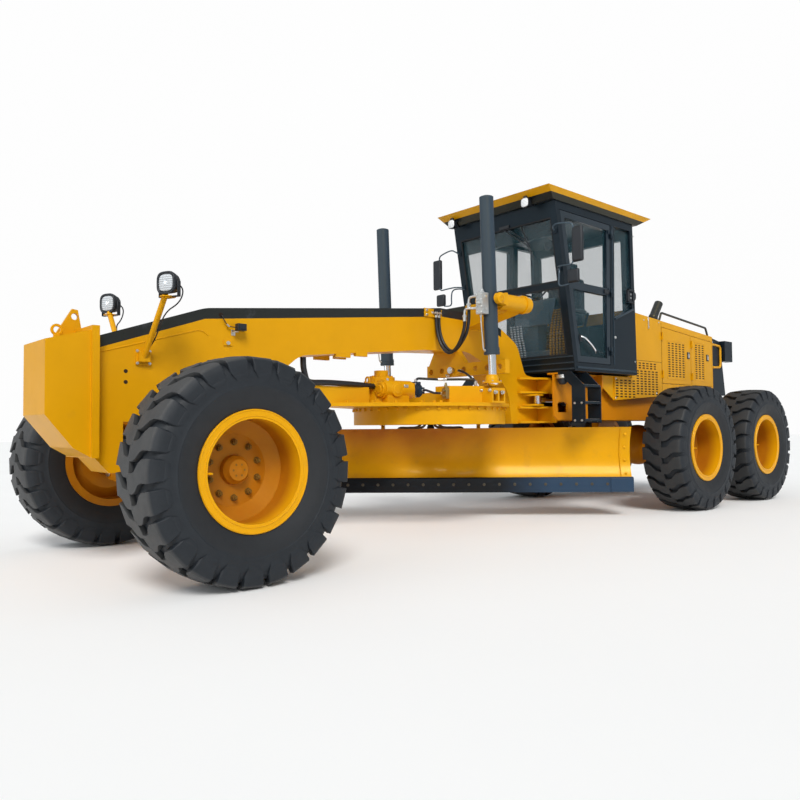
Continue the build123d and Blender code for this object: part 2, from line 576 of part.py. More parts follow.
TURN = radians(BLADE_ANGLE)
CIRCLE_PLANE = Plane(origin=(CIRCLE_X, 0, 0), x_dir=(cos(TURN), sin(TURN), 0), z_dir=(0, 0, 1))
BLADE_SIDE = Plane(origin=(CIRCLE_X, 0, 0), x_dir=(cos(TURN), sin(TURN), 0), z_dir=(sin(TURN), -cos(TURN), 0))


def turned(x, y, z):
    """A point given in the circle's own frame."""
    return (CIRCLE_X + x * cos(TURN) - y * sin(TURN), x * sin(TURN) + y * cos(TURN), z)


with BuildPart() as circle:
    for z, height, outer, inner in ((CIRCLE_LOW, CIRCLE_TOP - CIRCLE_LOW, CIRCLE_R, CIRCLE_WALL_R),
                                    (CIRCLE_TOP - 30, 30, CIRCLE_R, 640)):
        with BuildSketch(Plane.XY.offset(z)) as ring:
            with Locations((CIRCLE_X, 0)):
                Circle(outer)
                Circle(inner, mode=Mode.SUBTRACT)
        extrude(ring.sketch, amount=height)
    toothed_ring(CIRCLE_X, GEAR_LOW, GEAR_HIGH + 1, (CIRCLE_WALL_R + 4, GEAR_ROOT_R),
                 (GEAR_ROOT_R - TOOTH_HEIGHT / 2 + 1, TOOTH_HEIGHT, 34, 18), TEETH)
    for _, sign in SIDES:
        low, high = sorted((sign * ARM_Y[0], sign * ARM_Y[1]))
        slab(
            [(-480, 1076), (-750, 1076), (-800, 1010), (-812, 430), (-790, 390), (-730, 390), (-706, 440),
             (-706, 925), (-480, CIRCLE_LOW)],
            low, high, BLADE_SIDE,
        )
        bar(turned(PITCH_X, low, PITCH_Z), turned(PITCH_X, high, PITCH_Z), 50)
    bar(turned(-775, ARM_Y[0] + 5, 1010), turned(-775, -ARM_Y[0] - 5, 1010), 30)
    bar(turned(PITCH_X, -560, PITCH_Z), turned(PITCH_X, 560, PITCH_Z), 30 + FIT, Mode.SUBTRACT)
finish(circle, "circle")

with BuildPart() as blade_carrier:
    bar(turned(PITCH_X, -530, PITCH_Z), turned(PITCH_X, 530, PITCH_Z), 30)
    for _, sign in SIDES:
        low, high = sorted((sign * CARRIER_Y[0], sign * CARRIER_Y[1]))
        slab([(-705, 395), (-705, 840), (-790, 840), (-805, 395)], low, high, BLADE_SIDE)
        shoe_low, shoe_high = sorted((sign * (CARRIER_Y[0] - 70), sign * CARRIER_Y[1]))
        for z0, z1 in ((RAILS[1][1] + 2, RAILS[1][1] + 18), (RAILS[1][0] - 18, RAILS[1][0] - 2),
                       (RAILS[0][1] + 2, RAILS[0][1] + 18), (RAILS[0][0] - 18, RAILS[0][0] - 2)):
            slab([(-712, z0), (-712, z1), (-668, z1), (-668, z0)], shoe_low, shoe_high, BLADE_SIDE)
        for z0, z1 in ((RAILS[1][0] - 18, RAILS[1][1] + 18), (RAILS[0][0] - 18, RAILS[0][1] + 18)):
            slab([(-740, z0), (-740, z1), (-698, z1), (-698, z0)], shoe_low, shoe_high, BLADE_SIDE)
    bar(turned(-735, -450, 760), turned(-735, 450, 760), 25)
    # ear for the pitch cylinder
    for low in (-52, 34):
        slab([(-770, 385), (-740, 470), (-860, 430), (-900, 400), (-900, 370), (-860, 352)],
             low, low + 18, BLADE_SIDE)
finish(blade_carrier, "blade_carrier")


def arc_middle(low, high, mid_x, sag):
    """Middle point of the blade's hollow face."""
    return (mid_x - sag, (low + high) / 2)


BLADE_BOTTOM = (BLADE_FACE_X + 13, BLADE_LOW)
BLADE_HEAD = (BLADE_FACE_X - 14, BLADE_TOP)
BLADE_HOLLOW = arc_middle(BLADE_LOW, BLADE_TOP, BLADE_FACE_X, BLADE_SAG)
BLADE_Y = (SIDE_SHIFT - BLADE_LENGTH / 2, SIDE_SHIFT + BLADE_LENGTH / 2)
with BuildPart() as moldboard:
    with BuildSketch(BLADE_SIDE.offset(-BLADE_Y[1])) as section:
        with BuildLine():
            ThreePointArc(BLADE_BOTTOM, BLADE_HOLLOW, BLADE_HEAD)
            Line(BLADE_HEAD, (BLADE_HEAD[0] - BLADE_T, BLADE_TOP))
            ThreePointArc((BLADE_HEAD[0] - BLADE_T, BLADE_TOP), (BLADE_HOLLOW[0] - BLADE_T, BLADE_HOLLOW[1]),
                          (BLADE_BOTTOM[0] - BLADE_T, BLADE_LOW))
            Line((BLADE_BOTTOM[0] - BLADE_T, BLADE_LOW), BLADE_BOTTOM)
        make_face()
    extrude(section.sketch, amount=BLADE_LENGTH)
    for z0, z1 in RAILS:
        slab([(RAIL_X[0], z0), (RAIL_X[0], z1), (RAIL_X[1] + 3, z1), (RAIL_X[1] + 3, z0)],
             SIDE_SHIFT - 1500, SIDE_SHIFT + 1500, BLADE_SIDE)
finish(moldboard, "moldboard")

with BuildPart() as cutting_edge:
    face = BLADE_BOTTOM[0] + SEAT
    slab([(face, EDGE_LOW), (face, EDGE_LOW + 150), (face + 6, EDGE_LOW + 150), (face + 18, EDGE_LOW + 140),
          (face + 18, EDGE_LOW)], BLADE_Y[0], BLADE_Y[1], BLADE_SIDE)
finish(cutting_edge, "cutting_edge")

TILT_CYL = (turned(-775, 0, 1010), turned(-870, 0, 390))
ACROSS = (-sin(TURN), cos(TURN), 0)
with BuildPart() as pitch_cylinder_barrel:
    cylinder_barrel(*TILT_CYL, ACROSS, 420, 38, 20, 46, 30, 60)
finish(pitch_cylinder_barrel, "pitch_cylinder_barrel")
with BuildPart() as pitch_cylinder_rod:
    cylinder_rod(*TILT_CYL, 260, ACROSS, 20, 30, 60)
finish(pitch_cylinder_rod, "pitch_cylinder_rod")

# ---------------------------------------------------------------- lift cylinders
LIFT_TILT = atan2(YOKE_X - EAR_X, YOKE_Z - EAR_Z)
for side, sign in SIDES:
    y = sign * 700
    with BuildPart() as lift_yoke:
        bar((320, y, YOKE_Z), (YOKE_BACK - 20, y, YOKE_Z), 50)
        block((YOKE_BACK - 30, YOKE_BACK), (y - 116, y + 116), (YOKE_Z - 55, YOKE_Z + 55))
        for low in (-116, 84):
            block((YOKE_BACK - 5, YOKE_X), (y + low, y + low + 32), (YOKE_Z - 48, YOKE_Z + 48))
            bar((YOKE_X, y + low, YOKE_Z), (YOKE_X, y + low + 32, YOKE_Z), 48)
        bar((YOKE_X, y - 130, YOKE_Z), (YOKE_X, y + 130, YOKE_Z), 26 + FIT, Mode.SUBTRACT)
    finish(lift_yoke, f"lift_yoke_{side}")

    down = Vector(-sin(LIFT_TILT), 0, -cos(LIFT_TILT))
    hold = Vector(YOKE_X, y, YOKE_Z)
    with BuildPart() as lift_barrel:
        bar(hold - down * BARREL_ABOVE, hold + down * BARREL_BELOW, LIFT_BARREL_R)
        bar(hold + down * (BARREL_BELOW - 60), hold + down * BARREL_BELOW, LIFT_BARREL_R + 6)
        block((YOKE_X + LIFT_BARREL_R - 6, YOKE_X + 140), (y - 38, y + 38), (1880, 2065))
        bar((YOKE_X, y - 118, YOKE_Z), (YOKE_X, y - LIFT_BARREL_R + 12, YOKE_Z), 26)
        bar((YOKE_X, y + LIFT_BARREL_R - 12, YOKE_Z), (YOKE_X, y + 118, YOKE_Z), 26)
        bar(hold - down * (BARREL_ABOVE - 25), hold + down * (BARREL_BELOW + 5),
            LIFT_ROD_R + FIT, Mode.SUBTRACT)
    finish(lift_barrel, f"lift_barrel_{side}")

    eye = hold + down * ((YOKE_Z - EAR_Z) / cos(LIFT_TILT))
    with BuildPart() as lift_rod:
        bar(hold - down * (BARREL_ABOVE - 60), eye, LIFT_ROD_R)
        ball(eye, LIFT_BALL_R)
    finish(lift_rod, f"lift_rod_{side}")

# ---------------------------------------------------------------- rear frame
PLATE_LOW, PLATE_HIGH = (985, 1025), (1325, 1365)
with BuildPart() as rear_frame:
    for _, sign in SIDES:
        low, high = sorted((sign * RAIL_Y[0], sign * RAIL_Y[1]))
        slab([(-415, 1010), (-415, RAIL_TOP), (-1560, RAIL_TOP), (-1690, HOOD_LOW - SEAT),
              (FRAME_END, HOOD_LOW - SEAT), (FRAME_END, 1010), (FRAME_END + 140, RAIL_LOW), (-470, RAIL_LOW)],
             low, high)
        # window beside the articulation cylinder
        slab([(-470, 1045), (-470, 1130), (-500, 1150), (-610, 1150), (-640, 1130), (-640, 1045)],
             low - 1, high + 1, mode=Mode.SUBTRACT)
        # outrigger that carries the hood's lower panel and the cab
        frame_plate([(sign * y, z) for y, z in
                     ((RAIL_Y[1] - 1, 1120), (RAIL_Y[1] - 1, RAIL_TOP), (600, RAIL_TOP), (600, 1300))], -1140, -1115)
        # flange along the top of the rail, under the cab
        low, high = sorted((sign * (RAIL_Y[0] - 60), sign * DECK_HALF))
        block((-1560, -415), (low, high), (RAIL_TOP - 16, RAIL_TOP))
    for low, high in (PLATE_LOW, PLATE_HIGH):
        outline = [(PIVOT_X, 85), (-860, 120), (-1060, 485)]
        outline += [(-1685, 485), (-1685, -485)] + [(x, -y) for x, y in reversed(outline)]
        deck_plate(outline, low, high)
        bar((PIVOT_X, 0, low), (PIVOT_X, 0, high), 85)
    for low, high in ((PLATE_LOW[0], 1115), (1235, PLATE_HIGH[1])):
        bar((PIVOT_X, 0, low), (PIVOT_X, 0, high), PIVOT_R)
    for _, sign in SIDES:
        for low, high in ((1020, 1131), (1219, 1330)):
            bar((-1500, sign * 330, low), (-1500, sign * 330, high), 30)
        bar((-1500, sign * 330, 1100), (-1500, sign * 330, 1250), 24)
    # crossmembers: bulkhead, engine mounts and tail
    for x0, x1, z0, z1 in ((-1730, -1670, PLATE_LOW[0], 1240),
                           (-2600, -2500, RAIL_LOW, 1080), (-3500, -3400, RAIL_LOW, 1080),
                           (FRAME_END, FRAME_END + 30, 1010, HOOD_LOW - SEAT)):
        block((x0, x1), (-485, 485), (z0, z1))
    # towing hitch
    for low in HITCH_PLATES:
        deck_plate([(FRAME_END + 5, -90), (FRAME_END + 5, 90), (HITCH_X, 55), (HITCH_X, -55)],
                   low, low + HITCH_T)
        bar((HITCH_X, 0, low), (HITCH_X, 0, low + HITCH_T), 55)
    bar((HITCH_X, 0, HITCH_PLATES[0] - 5), (HITCH_X, 0, HITCH_PLATES[1] + HITCH_T + 5),
        HITCH_PIN_R, Mode.SUBTRACT)
finish(rear_frame, "rear_frame")

with BuildPart() as engine_block:
    block((-3420, -1950), (-330, 330), (1080 + SEAT, 1850))
finish(engine_block, "engine_block")

ART_CYL_Z = 1176
ART_PIVOT = (-1500, 330, ART_CYL_Z)
ART_EYE = (-450, 270, ART_CYL_Z)
with BuildPart() as articulation_barrel:
    cylinder_barrel(ART_PIVOT, ART_EYE, (0, 0, 1), 640, 46, 26, 44, 24, 80)
both_sides(articulation_barrel, "articulation_barrel")
with BuildPart() as articulation_rod:
    cylinder_rod(ART_PIVOT, ART_EYE, 440, (0, 0, 1), 26, 38, 80)
both_sides(articulation_rod, "articulation_rod")

with BuildPart() as tandem_axle:
    bar((TANDEM_X, -640, AXLE_Z), (TANDEM_X, 640, AXLE_Z), 150)
    ball((TANDEM_X, 0, AXLE_Z), 250)
    for _, sign in SIDES:
        inner, outer = sign * 630, sign * 800
        low, high = sorted((inner, outer))
        with BuildSketch(Plane.XZ.offset(-high)) as case:
            with Locations((TANDEM_X, AXLE_Z)):
                SlotCenterToCenter(TANDEM_SPACING, 440)
        extrude(case.sketch, amount=high - low)
        bar((TANDEM_X, sign * 560, AXLE_Z), (TANDEM_X, sign * 640, AXLE_Z), 200)
        low, high = sorted((sign * 440, sign * 540))
        block((TANDEM_X - 190, TANDEM_X + 190), (low, high), (AXLE_Z, RAIL_LOW - SEAT))
        for end in (1, -1):
            x = TANDEM_X + end * TANDEM_SPACING / 2
            hub_face = HALF_TRACK - 95 - DISC_T - HUB_DEPTH
            bar((x, outer, AXLE_Z), (x, sign * (hub_face - 3), AXLE_Z), 110)
            bar((x, outer, AXLE_Z), (x, sign * (hub_face + SPINDLE_DEPTH - SEAT), AXLE_Z), SPINDLE_R)
finish(tandem_axle, "tandem_axle")

# ---------------------------------------------------------------- hood
HOOD_TOP = ((-1690, 2191), (-3737, 2043))
HOOD_HINGE_Y = HOOD_HALF + 13


def hood_top(x, drop=0):
    (x0, z0), (x1, z1) = HOOD_TOP
    return z0 + (z1 - z0) * (x - x0) / (x1 - x0) - drop


# (name, x of the hinged edge, x of the latch edge, lower edge, distance under the hood's top)
HOOD_DOORS = (("front", -2450, -3140, 1400, 75), ("rear", -3168, -3712, 1400, 75))
with BuildPart() as hood:
    slab([(HOOD_X[1], HOOD_LOW), (HOOD_X[1], hood_top(HOOD_X[1])), (HOOD_X[0], hood_top(HOOD_X[0])),
          (HOOD_X[0], HOOD_LOW)], -HOOD_HALF, HOOD_HALF)
    slab([(HOOD_X[1] - HOOD_T, HOOD_LOW - 1), (HOOD_X[1] - HOOD_T, hood_top(HOOD_X[1], HOOD_T)),
          (HOOD_X[0] + HOOD_T, hood_top(HOOD_X[0], HOOD_T)), (HOOD_X[0] + HOOD_T, HOOD_LOW - 1)],
         -HOOD_HALF + HOOD_T, HOOD_HALF - HOOD_T, mode=Mode.SUBTRACT)
    for _, x0, x1, low, drop in HOOD_DOORS:
        slab([(x0 + DOOR_GAP, low - DOOR_GAP), (x0 + DOOR_GAP, hood_top(x0, drop - DOOR_GAP)),
              (x1 - DOOR_GAP, hood_top(x1, drop - DOOR_GAP)), (x1 - DOOR_GAP, low - DOOR_GAP)],
             -700, 700, mode=Mode.SUBTRACT)
    # lower side panels, reaching forward under the cab
    for _, sign in SIDES:
        low, high = sorted((sign * (HOOD_HALF - 15), sign * (HOOD_HALF + 20)))
        slab([(-1390, 1180), (-1390, 1435), (-1740, 1435), (-1740, 1545), (-2290, 1545), (-2290, 1240)],
             low, high)
        low, high = sorted((sign * 502, sign * (HOOD_HALF - 10)))
        block((-1700, -1680), (low, high), (1270, 1400))
        # hand rail along the top edge
        top = hood_top(-2460)
        bent_tube([(-2460, sign * 520, top - 5), (-2520, sign * 520, top + 110),
                   (-3640, sign * 520, hood_top(-3640) + 105), (-3700, sign * 520, hood_top(-3700) - 5)], 13, 35)
    for _, x0, _, low, drop in HOOD_DOORS:
        for _, sign in SIDES:
            for z in (low + 60, hood_top(x0, drop) - 150):
                hinge_half((x0 + DOOR_GAP / 2, sign * HOOD_HINGE_Y, z), (0, 0, 1), 16, sign * HOOD_HALF, True)
    # exhaust stack with its slanted, open outlet
    bar((-3270, 0, hood_top(-3270) - 5), (-3270, 0, 2320), 60)
    ball((-3270, 0, 2320), 60)
    bar((-3270, 0, 2320), (-3420, 0, 2520), 55)
    bar((-3300, 0, 2360), (-3435, 0, 2540), 45, Mode.SUBTRACT)
finish(hood, "hood")

for name, x0, x1, low, drop in HOOD_DOORS:
    with BuildPart() as hood_door:
        slab([(x0, low), (x0, hood_top(x0, drop)), (x1, hood_top(x1, drop)), (x1, low)],
             HOOD_HALF - HOOD_T, HOOD_HALF)
        for z in (low + 60, hood_top(x0, drop) - 150):
            hinge_half((x0 + DOOR_GAP / 2, HOOD_HINGE_Y, z), (0, 0, 1), -30, HOOD_HALF, False)
    both_sides(hood_door, f"hood_door_{name}")

with BuildPart() as radiator_guard:
    back = [(-3740, 1290), (-3740, 2040), (-4010, 2000), (-4140, 1290)]
    slab(back, -535, 535)
    slab([(-3700, 1350), (-3700, 1950), (-3960, 1940), (-4080, 1350)], -480, 480, mode=Mode.SUBTRACT)
    frame_plate([(-420, 1400), (-420, 1880), (420, 1880), (420, 1400)], -4200, -3950, mode=Mode.SUBTRACT)
    for step in range(9):
        z = 1420 + step * 55
        block((-4010 - (2000 - z) * 0.17, -3990 - (2000 - z) * 0.17), (-430, 430), (z, z + 14))
    for _, sign in SIDES:
        low, high = sorted((sign * 520, sign * 570))
        block((-4250, -4030), (low - 20, high + 20), (1740, 2010))
        bent_tube([(-3748, sign * 545, 1950), (-3990, sign * 545, 1940), (-3990, sign * 545, 1660),
                   (-3760, sign * 545, 1650)], 15, 50)
    block((-3990, -3760), (-485, 485), (HOOD_LOW, 1300))
finish(radiator_guard, "radiator_guard")

# ---------------------------------------------------------------- cab
CAB_FRONT = ((-525, CAB_Z), (-235, CAB_TOP))
CAB_REAR = ((-1680, CAB_Z), (-1640, CAB_TOP))


def on_line(line, z, step=0):
    (x0, z0), (x1, z1) = line
    return x0 + (x1 - x0) * (z - z0) / (z1 - z0) + step


DOOR_LOW, DOOR_TOP = 1540, 3030
B_POST = ((-1165, DOOR_LOW), (-1200, DOOR_TOP))
CAB_HINGE_Y = CAB_HALF + 13
CAB_HINGES = (1640, 2260, 2880)
CAB_HINGE_WAY = (B_POST[1][0] - B_POST[0][0], 0, B_POST[1][1] - B_POST[0][1])


def door_outline(inset):
    """The door opening, made smaller by an inset."""
    low, top = DOOR_LOW + inset, DOOR_TOP - inset
    return [(on_line(CAB_FRONT, low, -60 - inset), low), (on_line(CAB_FRONT, top, -60 - inset), top),
            (on_line(B_POST, top, inset), top), (on_line(B_POST, low, inset), low)]


with BuildPart() as cab_frame:
    outer = [CAB_FRONT[0], CAB_FRONT[1], CAB_REAR[1], CAB_REAR[0]]
    slab(outer, -CAB_HALF, CAB_HALF)
    low, top = CAB_Z + 60, CAB_TOP - CAB_WALL
    slab([(on_line(CAB_FRONT, low, -CAB_WALL), low), (on_line(CAB_FRONT, top, -CAB_WALL), top),
          (on_line(CAB_REAR, top, CAB_WALL), top), (on_line(CAB_REAR, low, CAB_WALL), low)],
         -CAB_HALF + CAB_WALL, CAB_HALF - CAB_WALL, mode=Mode.SUBTRACT)
    slab(door_outline(0), -CAB_HALF - 10, CAB_HALF + 10, mode=Mode.SUBTRACT)
    # side windows behind the doors, with their slanted sills
    slab([(-1275, DOOR_TOP), (on_line(CAB_REAR, DOOR_TOP, 60), DOOR_TOP), (on_line(CAB_REAR, 2180, 60), 2180),
          (-1250, 2040)], -CAB_HALF - 10, CAB_HALF + 10, mode=Mode.SUBTRACT)
    # windscreen in two panes, and the rear window
    for z0, z1 in ((1620, 2275), (2340, 2950)):
        block((-700, 0), (-600, 600), (z0, z1), mode=Mode.SUBTRACT)
    block((-1900, -1550), (-560, 560), (2050, 2950), mode=Mode.SUBTRACT)
    # console with the steering column, on the floor
    slab([(-640, CAB_Z + 59), (-760, CAB_Z + 59), (-790, 2150), (-740, 2200), (-620, 2100)], -150, 150)
    bar((-770, 0, 2150), (-850, 0, 2290), 22)
    for z in CAB_HINGES:
        for _, sign in SIDES:
            foot = (on_line(B_POST, z, DOOR_GAP / 2), sign * CAB_HINGE_Y, z)
            hinge_half(foot, CAB_HINGE_WAY, -45, sign * CAB_HALF, True)
    # mounts on the frame rails
    for x in (-560, -1480):
        for _, sign in SIDES:
            bar((x, sign * 490, RAIL_TOP + SEAT), (x, sign * 490, CAB_Z + 5), 45)
finish(cab_frame, "cab_frame")

with BuildPart() as cab_roof:
    with BuildSketch(Plane.XY.offset(CAB_TOP + SEAT)) as lower:
        with Locations((-945, 0)):
            Rectangle(1520, 1390)
    with BuildSketch(Plane.XY.offset(ROOF_TOP)) as upper:
        with Locations((-981, 0)):
            Rectangle(1869, 1500)
    loft([lower.sketch, upper.sketch])
finish(cab_roof, "cab_roof")

GLASS_T = 6
with BuildPart() as cab_glass:
    for z0, z1 in ((1620, 2275), (2340, 2950)):
        z0, z1 = z0 + 2, z1 - 2
        slab([(on_line(CAB_FRONT, z0, -25), z0), (on_line(CAB_FRONT, z1, -25), z1),
              (on_line(CAB_FRONT, z1, -25 + GLASS_T), z1), (on_line(CAB_FRONT, z0, -25 + GLASS_T), z0)], -599.4, 599.4)
    slab([(on_line(CAB_REAR, 2052, 20), 2052), (on_line(CAB_REAR, 2948, 20), 2948),
          (on_line(CAB_REAR, 2948, 20 + GLASS_T), 2948), (on_line(CAB_REAR, 2052, 20 + GLASS_T), 2052)],
         -559.4, 559.4)
    for _, sign in SIDES:
        low, high = sorted((sign * 650, sign * (650 + GLASS_T)))
        slab([(-1276, DOOR_TOP - 2), (on_line(CAB_REAR, DOOR_TOP, 60.6), DOOR_TOP - 2),
              (on_line(CAB_REAR, 2182, 60.6), 2182), (-1251, 2042)], low, high)
finish(cab_glass, "cab_glass")

with BuildPart() as cab_door:
    slab(door_outline(DOOR_GAP), 628, 678)
    frame = 62
    for low, top in ((DOOR_LOW + DOOR_GAP + frame, 2270), (2345, DOOR_TOP - DOOR_GAP - frame)):
        slab([(on_line(CAB_FRONT, low, -66 - frame), low), (on_line(CAB_FRONT, top, -66 - frame), top),
              (on_line(B_POST, top, 6 + frame), top), (on_line(B_POST, low, 6 + frame), low)],
             600, 700, mode=Mode.SUBTRACT)
        # the pane
        slab([(on_line(CAB_FRONT, low, -66 - frame + 1), low - 1), (on_line(CAB_FRONT, top, -66 - frame + 1), top + 1),
              (on_line(B_POST, top, 6 + frame - 1), top + 1), (on_line(B_POST, low, 6 + frame - 1), low - 1)],
             650, 656)
    for z in CAB_HINGES:
        hinge_half((on_line(B_POST, z, DOOR_GAP / 2), CAB_HINGE_Y, z), CAB_HINGE_WAY, 45, 677, False)
both_sides(cab_door, "cab_door")

with BuildPart() as operator_seat:
    block((-1330, -880), (-240, 240), (1900, 2000))
    slab([(-1330, 1960), (-1240, 1960), (-1320, 2640), (-1400, 2640)], -230, 230)
    block((-1280, -960), (-180, 180), (CAB_Z + 60 + SEAT, 1905))
finish(operator_seat, "operator_seat")

with BuildPart() as mirrors:
    for _, sign in SIDES:
        for z, y, height, root in ((2625, 937, 340, 2860), (2330, 886, 130, 2400)):
            block((-250, -205), tuple(sorted((sign * (y - 62), sign * (y + 62)))), (z - height / 2, z + height / 2))
            low, high = sorted((sign * 635, sign * 675))
            slab([(on_line(CAB_FRONT, z, x), z) for z, x in
                  ((root - 35, SEAT), (root - 35, 14), (root + 35, 14), (root + 35, SEAT))], low, high)
            bent_tube([(on_line(CAB_FRONT, root, 8), sign * 655, root), (-215, sign * 700, root + 20), (-215, sign * y, root + 10),
                       (-227, sign * y, z + height / 2 - 5)], 9, 20)
finish(mirrors, "mirrors")

with BuildPart() as ladders:
    for _, sign in SIDES:
        inner, outer = sign * 700, sign * 850
        for x in (-440, -710):
            slab_y = sorted((inner, outer))
            frame_plate([(inner, 935), (outer, 935), (outer, 1290), (sign * 690, 1448), (sign * (DECK_HALF + SEAT), 1448),
                         (sign * (DECK_HALF + SEAT), 1425), (inner, 1300)], x, x + 12)
        for z in (950, 1120, 1285):
            block((-700, -430), tuple(slab_y), (z, z + 22))
    for _, sign in SIDES:
        block((-710, -428), tuple(sorted((sign * (DECK_HALF + SEAT), sign * 590))), (RAIL_TOP - 16, RAIL_TOP - 1))
finish(ladders, "ladders")
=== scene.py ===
"""Looks of a motor grader: paint, rubber, glass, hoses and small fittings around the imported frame."""
from itertools import product
from math import cos, radians, sin, tau

import bmesh
import bpy
from mathutils import Matrix, Vector


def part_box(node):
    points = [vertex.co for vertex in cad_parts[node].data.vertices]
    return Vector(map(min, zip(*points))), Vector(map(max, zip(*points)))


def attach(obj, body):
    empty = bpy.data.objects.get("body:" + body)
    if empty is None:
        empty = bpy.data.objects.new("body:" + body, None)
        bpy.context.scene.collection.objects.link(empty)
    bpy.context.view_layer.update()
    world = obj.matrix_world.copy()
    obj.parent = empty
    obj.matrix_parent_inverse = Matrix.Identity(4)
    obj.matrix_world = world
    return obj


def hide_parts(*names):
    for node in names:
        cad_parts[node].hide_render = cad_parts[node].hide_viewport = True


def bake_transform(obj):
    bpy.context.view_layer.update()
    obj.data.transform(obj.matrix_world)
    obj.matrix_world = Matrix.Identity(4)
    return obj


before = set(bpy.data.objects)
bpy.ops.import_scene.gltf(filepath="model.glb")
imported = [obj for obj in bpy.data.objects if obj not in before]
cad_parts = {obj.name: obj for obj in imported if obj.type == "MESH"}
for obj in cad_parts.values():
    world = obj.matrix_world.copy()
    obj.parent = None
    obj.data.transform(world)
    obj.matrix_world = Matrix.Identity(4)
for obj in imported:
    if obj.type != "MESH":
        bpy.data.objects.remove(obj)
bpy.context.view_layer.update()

X, Y, Z = Vector((1, 0, 0)), Vector((0, 1, 0)), Vector((0, 0, 1))
SIDES, SIGNS = (("left", 1), ("right", -1)), (1, -1)

# ================ places on the frame, in metres
# y of what is on both sides is counted outward from the middle
HALF_TRACK, AXLE_Z = 1.085, 0.665
FRONT_AXLE_X, MIDDLE_AXLE_X, TANDEM_X, REAR_AXLE_X = 3.435, -2.052, -2.821, -3.59
LEAN_Y, LEAN_Z, KINGPIN_Y = 0.725, 0.58, 0.85
PIVOT_X = -0.8
BEAM_FACE, SADDLE_FACE = 0.1605, 0.172
# where a lift cylinder is held, and its lower ball
YOKE_Y = 0.7
YOKE, LIFT_EYE = (0.76, YOKE_Y, 2.017), (0.735, 0.69, 1.3)
CIRCLE_X, BLADE_TURN = 0.835, radians(45)
WORM_Y, WORM_Z = 0.135, 1.235
DECK_TOP = 1.1144
CAB_FACE, HOOD_FACE, GRILLE_FACE = 0.68, 0.56, 0.58


# ================ shader values
class Value:
    """A number or colour that changes over a surface; arithmetic on it adds Math nodes."""

    def __init__(self, finish, socket):
        self.finish, self.socket = finish, socket

    def calc(self, operation, *others):
        picked = [o.socket if isinstance(o, Value) else o for o in (self, *others)]
        return self.finish.node("ShaderNodeMath", {"operation": operation}, picked)

    def __add__(self, other):
        return self.calc("ADD", other)

    def __sub__(self, other):
        return self.calc("SUBTRACT", other)

    def __mul__(self, other):
        return self.calc("MULTIPLY", other)

    def __truediv__(self, other):
        return self.calc("DIVIDE", other)

    __radd__, __rmul__ = __add__, __mul__

    def __rsub__(self, other):
        return (self * -1).calc("ADD", other)

    def __abs__(self):
        return self.calc("ABSOLUTE")

    def over(self, edge, soft=0.002):
        """0 under the edge and 1 over it, with a soft step."""
        return ((self - edge) / soft).calc("ADD", 0.5).calc("MAXIMUM", 0.0).calc("MINIMUM", 1.0)


# places of the colours among the sockets of a Mix node
COLOUR_A, COLOUR_B, MIXED_COLOUR = 6, 7, 2


class Finish:
    """One material: its principled shader, and the nodes that feed it."""

    def __init__(self, name):
        self.material = bpy.data.materials.new(name)
        self.material.use_nodes = True
        self.tree = self.material.node_tree
        self.shader = self.tree.nodes["Principled BSDF"]
        self.place = self.node("ShaderNodeTexCoord", {}, [], "Object")
        parts = self.tree.nodes.new("ShaderNodeSeparateXYZ")
        self.tree.links.new(self.place.socket, parts.inputs[0])
        self.x, self.y, self.z = (Value(self, parts.outputs[k]) for k in range(3))

    def node(self, kind, settings, inputs, output=0):
        made = self.tree.nodes.new(kind)
        for key, value in settings.items():
            setattr(made, key, value)
        pairs = inputs.items() if isinstance(inputs, dict) else enumerate(inputs)
        for key, value in pairs:
            if isinstance(value, Value):
                value = value.socket
            if isinstance(value, bpy.types.NodeSocket):
                self.tree.links.new(value, made.inputs[key])
            else:
                made.inputs[key].default_value = value
        return Value(self, made.outputs[output])

    def noise(self, scale, detail=3.0, rough=0.55, stretch=(1, 1, 1)):
        where = self.node("ShaderNodeMapping", {}, {"Vector": self.place, "Scale": stretch})
        return self.node("ShaderNodeTexNoise", {}, {"Vector": where, "Scale": scale, "Detail": detail,
                                                    "Roughness": rough})

    def mix(self, amount, first, second):
        """A colour between two colours."""
        first, second = ((*c, 1) if isinstance(c, tuple) else c for c in (first, second))
        inputs = {"Factor": amount, COLOUR_A: first, COLOUR_B: second}
        return self.node("ShaderNodeMix", {"data_type": "RGBA"}, inputs, MIXED_COLOUR)

    def wave(self, scale, way="Z"):
        inputs = {"Vector": self.place, "Scale": scale}
        return self.node("ShaderNodeTexWave", {"bands_direction": way}, inputs)

    def bump(self, height, strength, distance):
        inputs = {"Height": height, "Strength": strength, "Distance": distance}
        return self.node("ShaderNodeBump", {}, inputs)

    def set(self, **inputs):
        """Sets the shader's sockets; underscores in a name stand for spaces."""
        for key, value in inputs.items():
            socket = self.shader.inputs[key.replace("_", " ")]
            if isinstance(value, Value):
                self.tree.links.new(value.socket, socket)
            else:
                socket.default_value = (*value, 1) if isinstance(value, tuple) else value
        return self.material

    def inside(self, value, low, high, soft=0.002):
        """1 where a value lies between two limits."""
        return value.over(low, soft) * (1 - value.over(high, soft))


def shade(colour, amount):
    return tuple(min(1.0, c * amount) for c in colour)


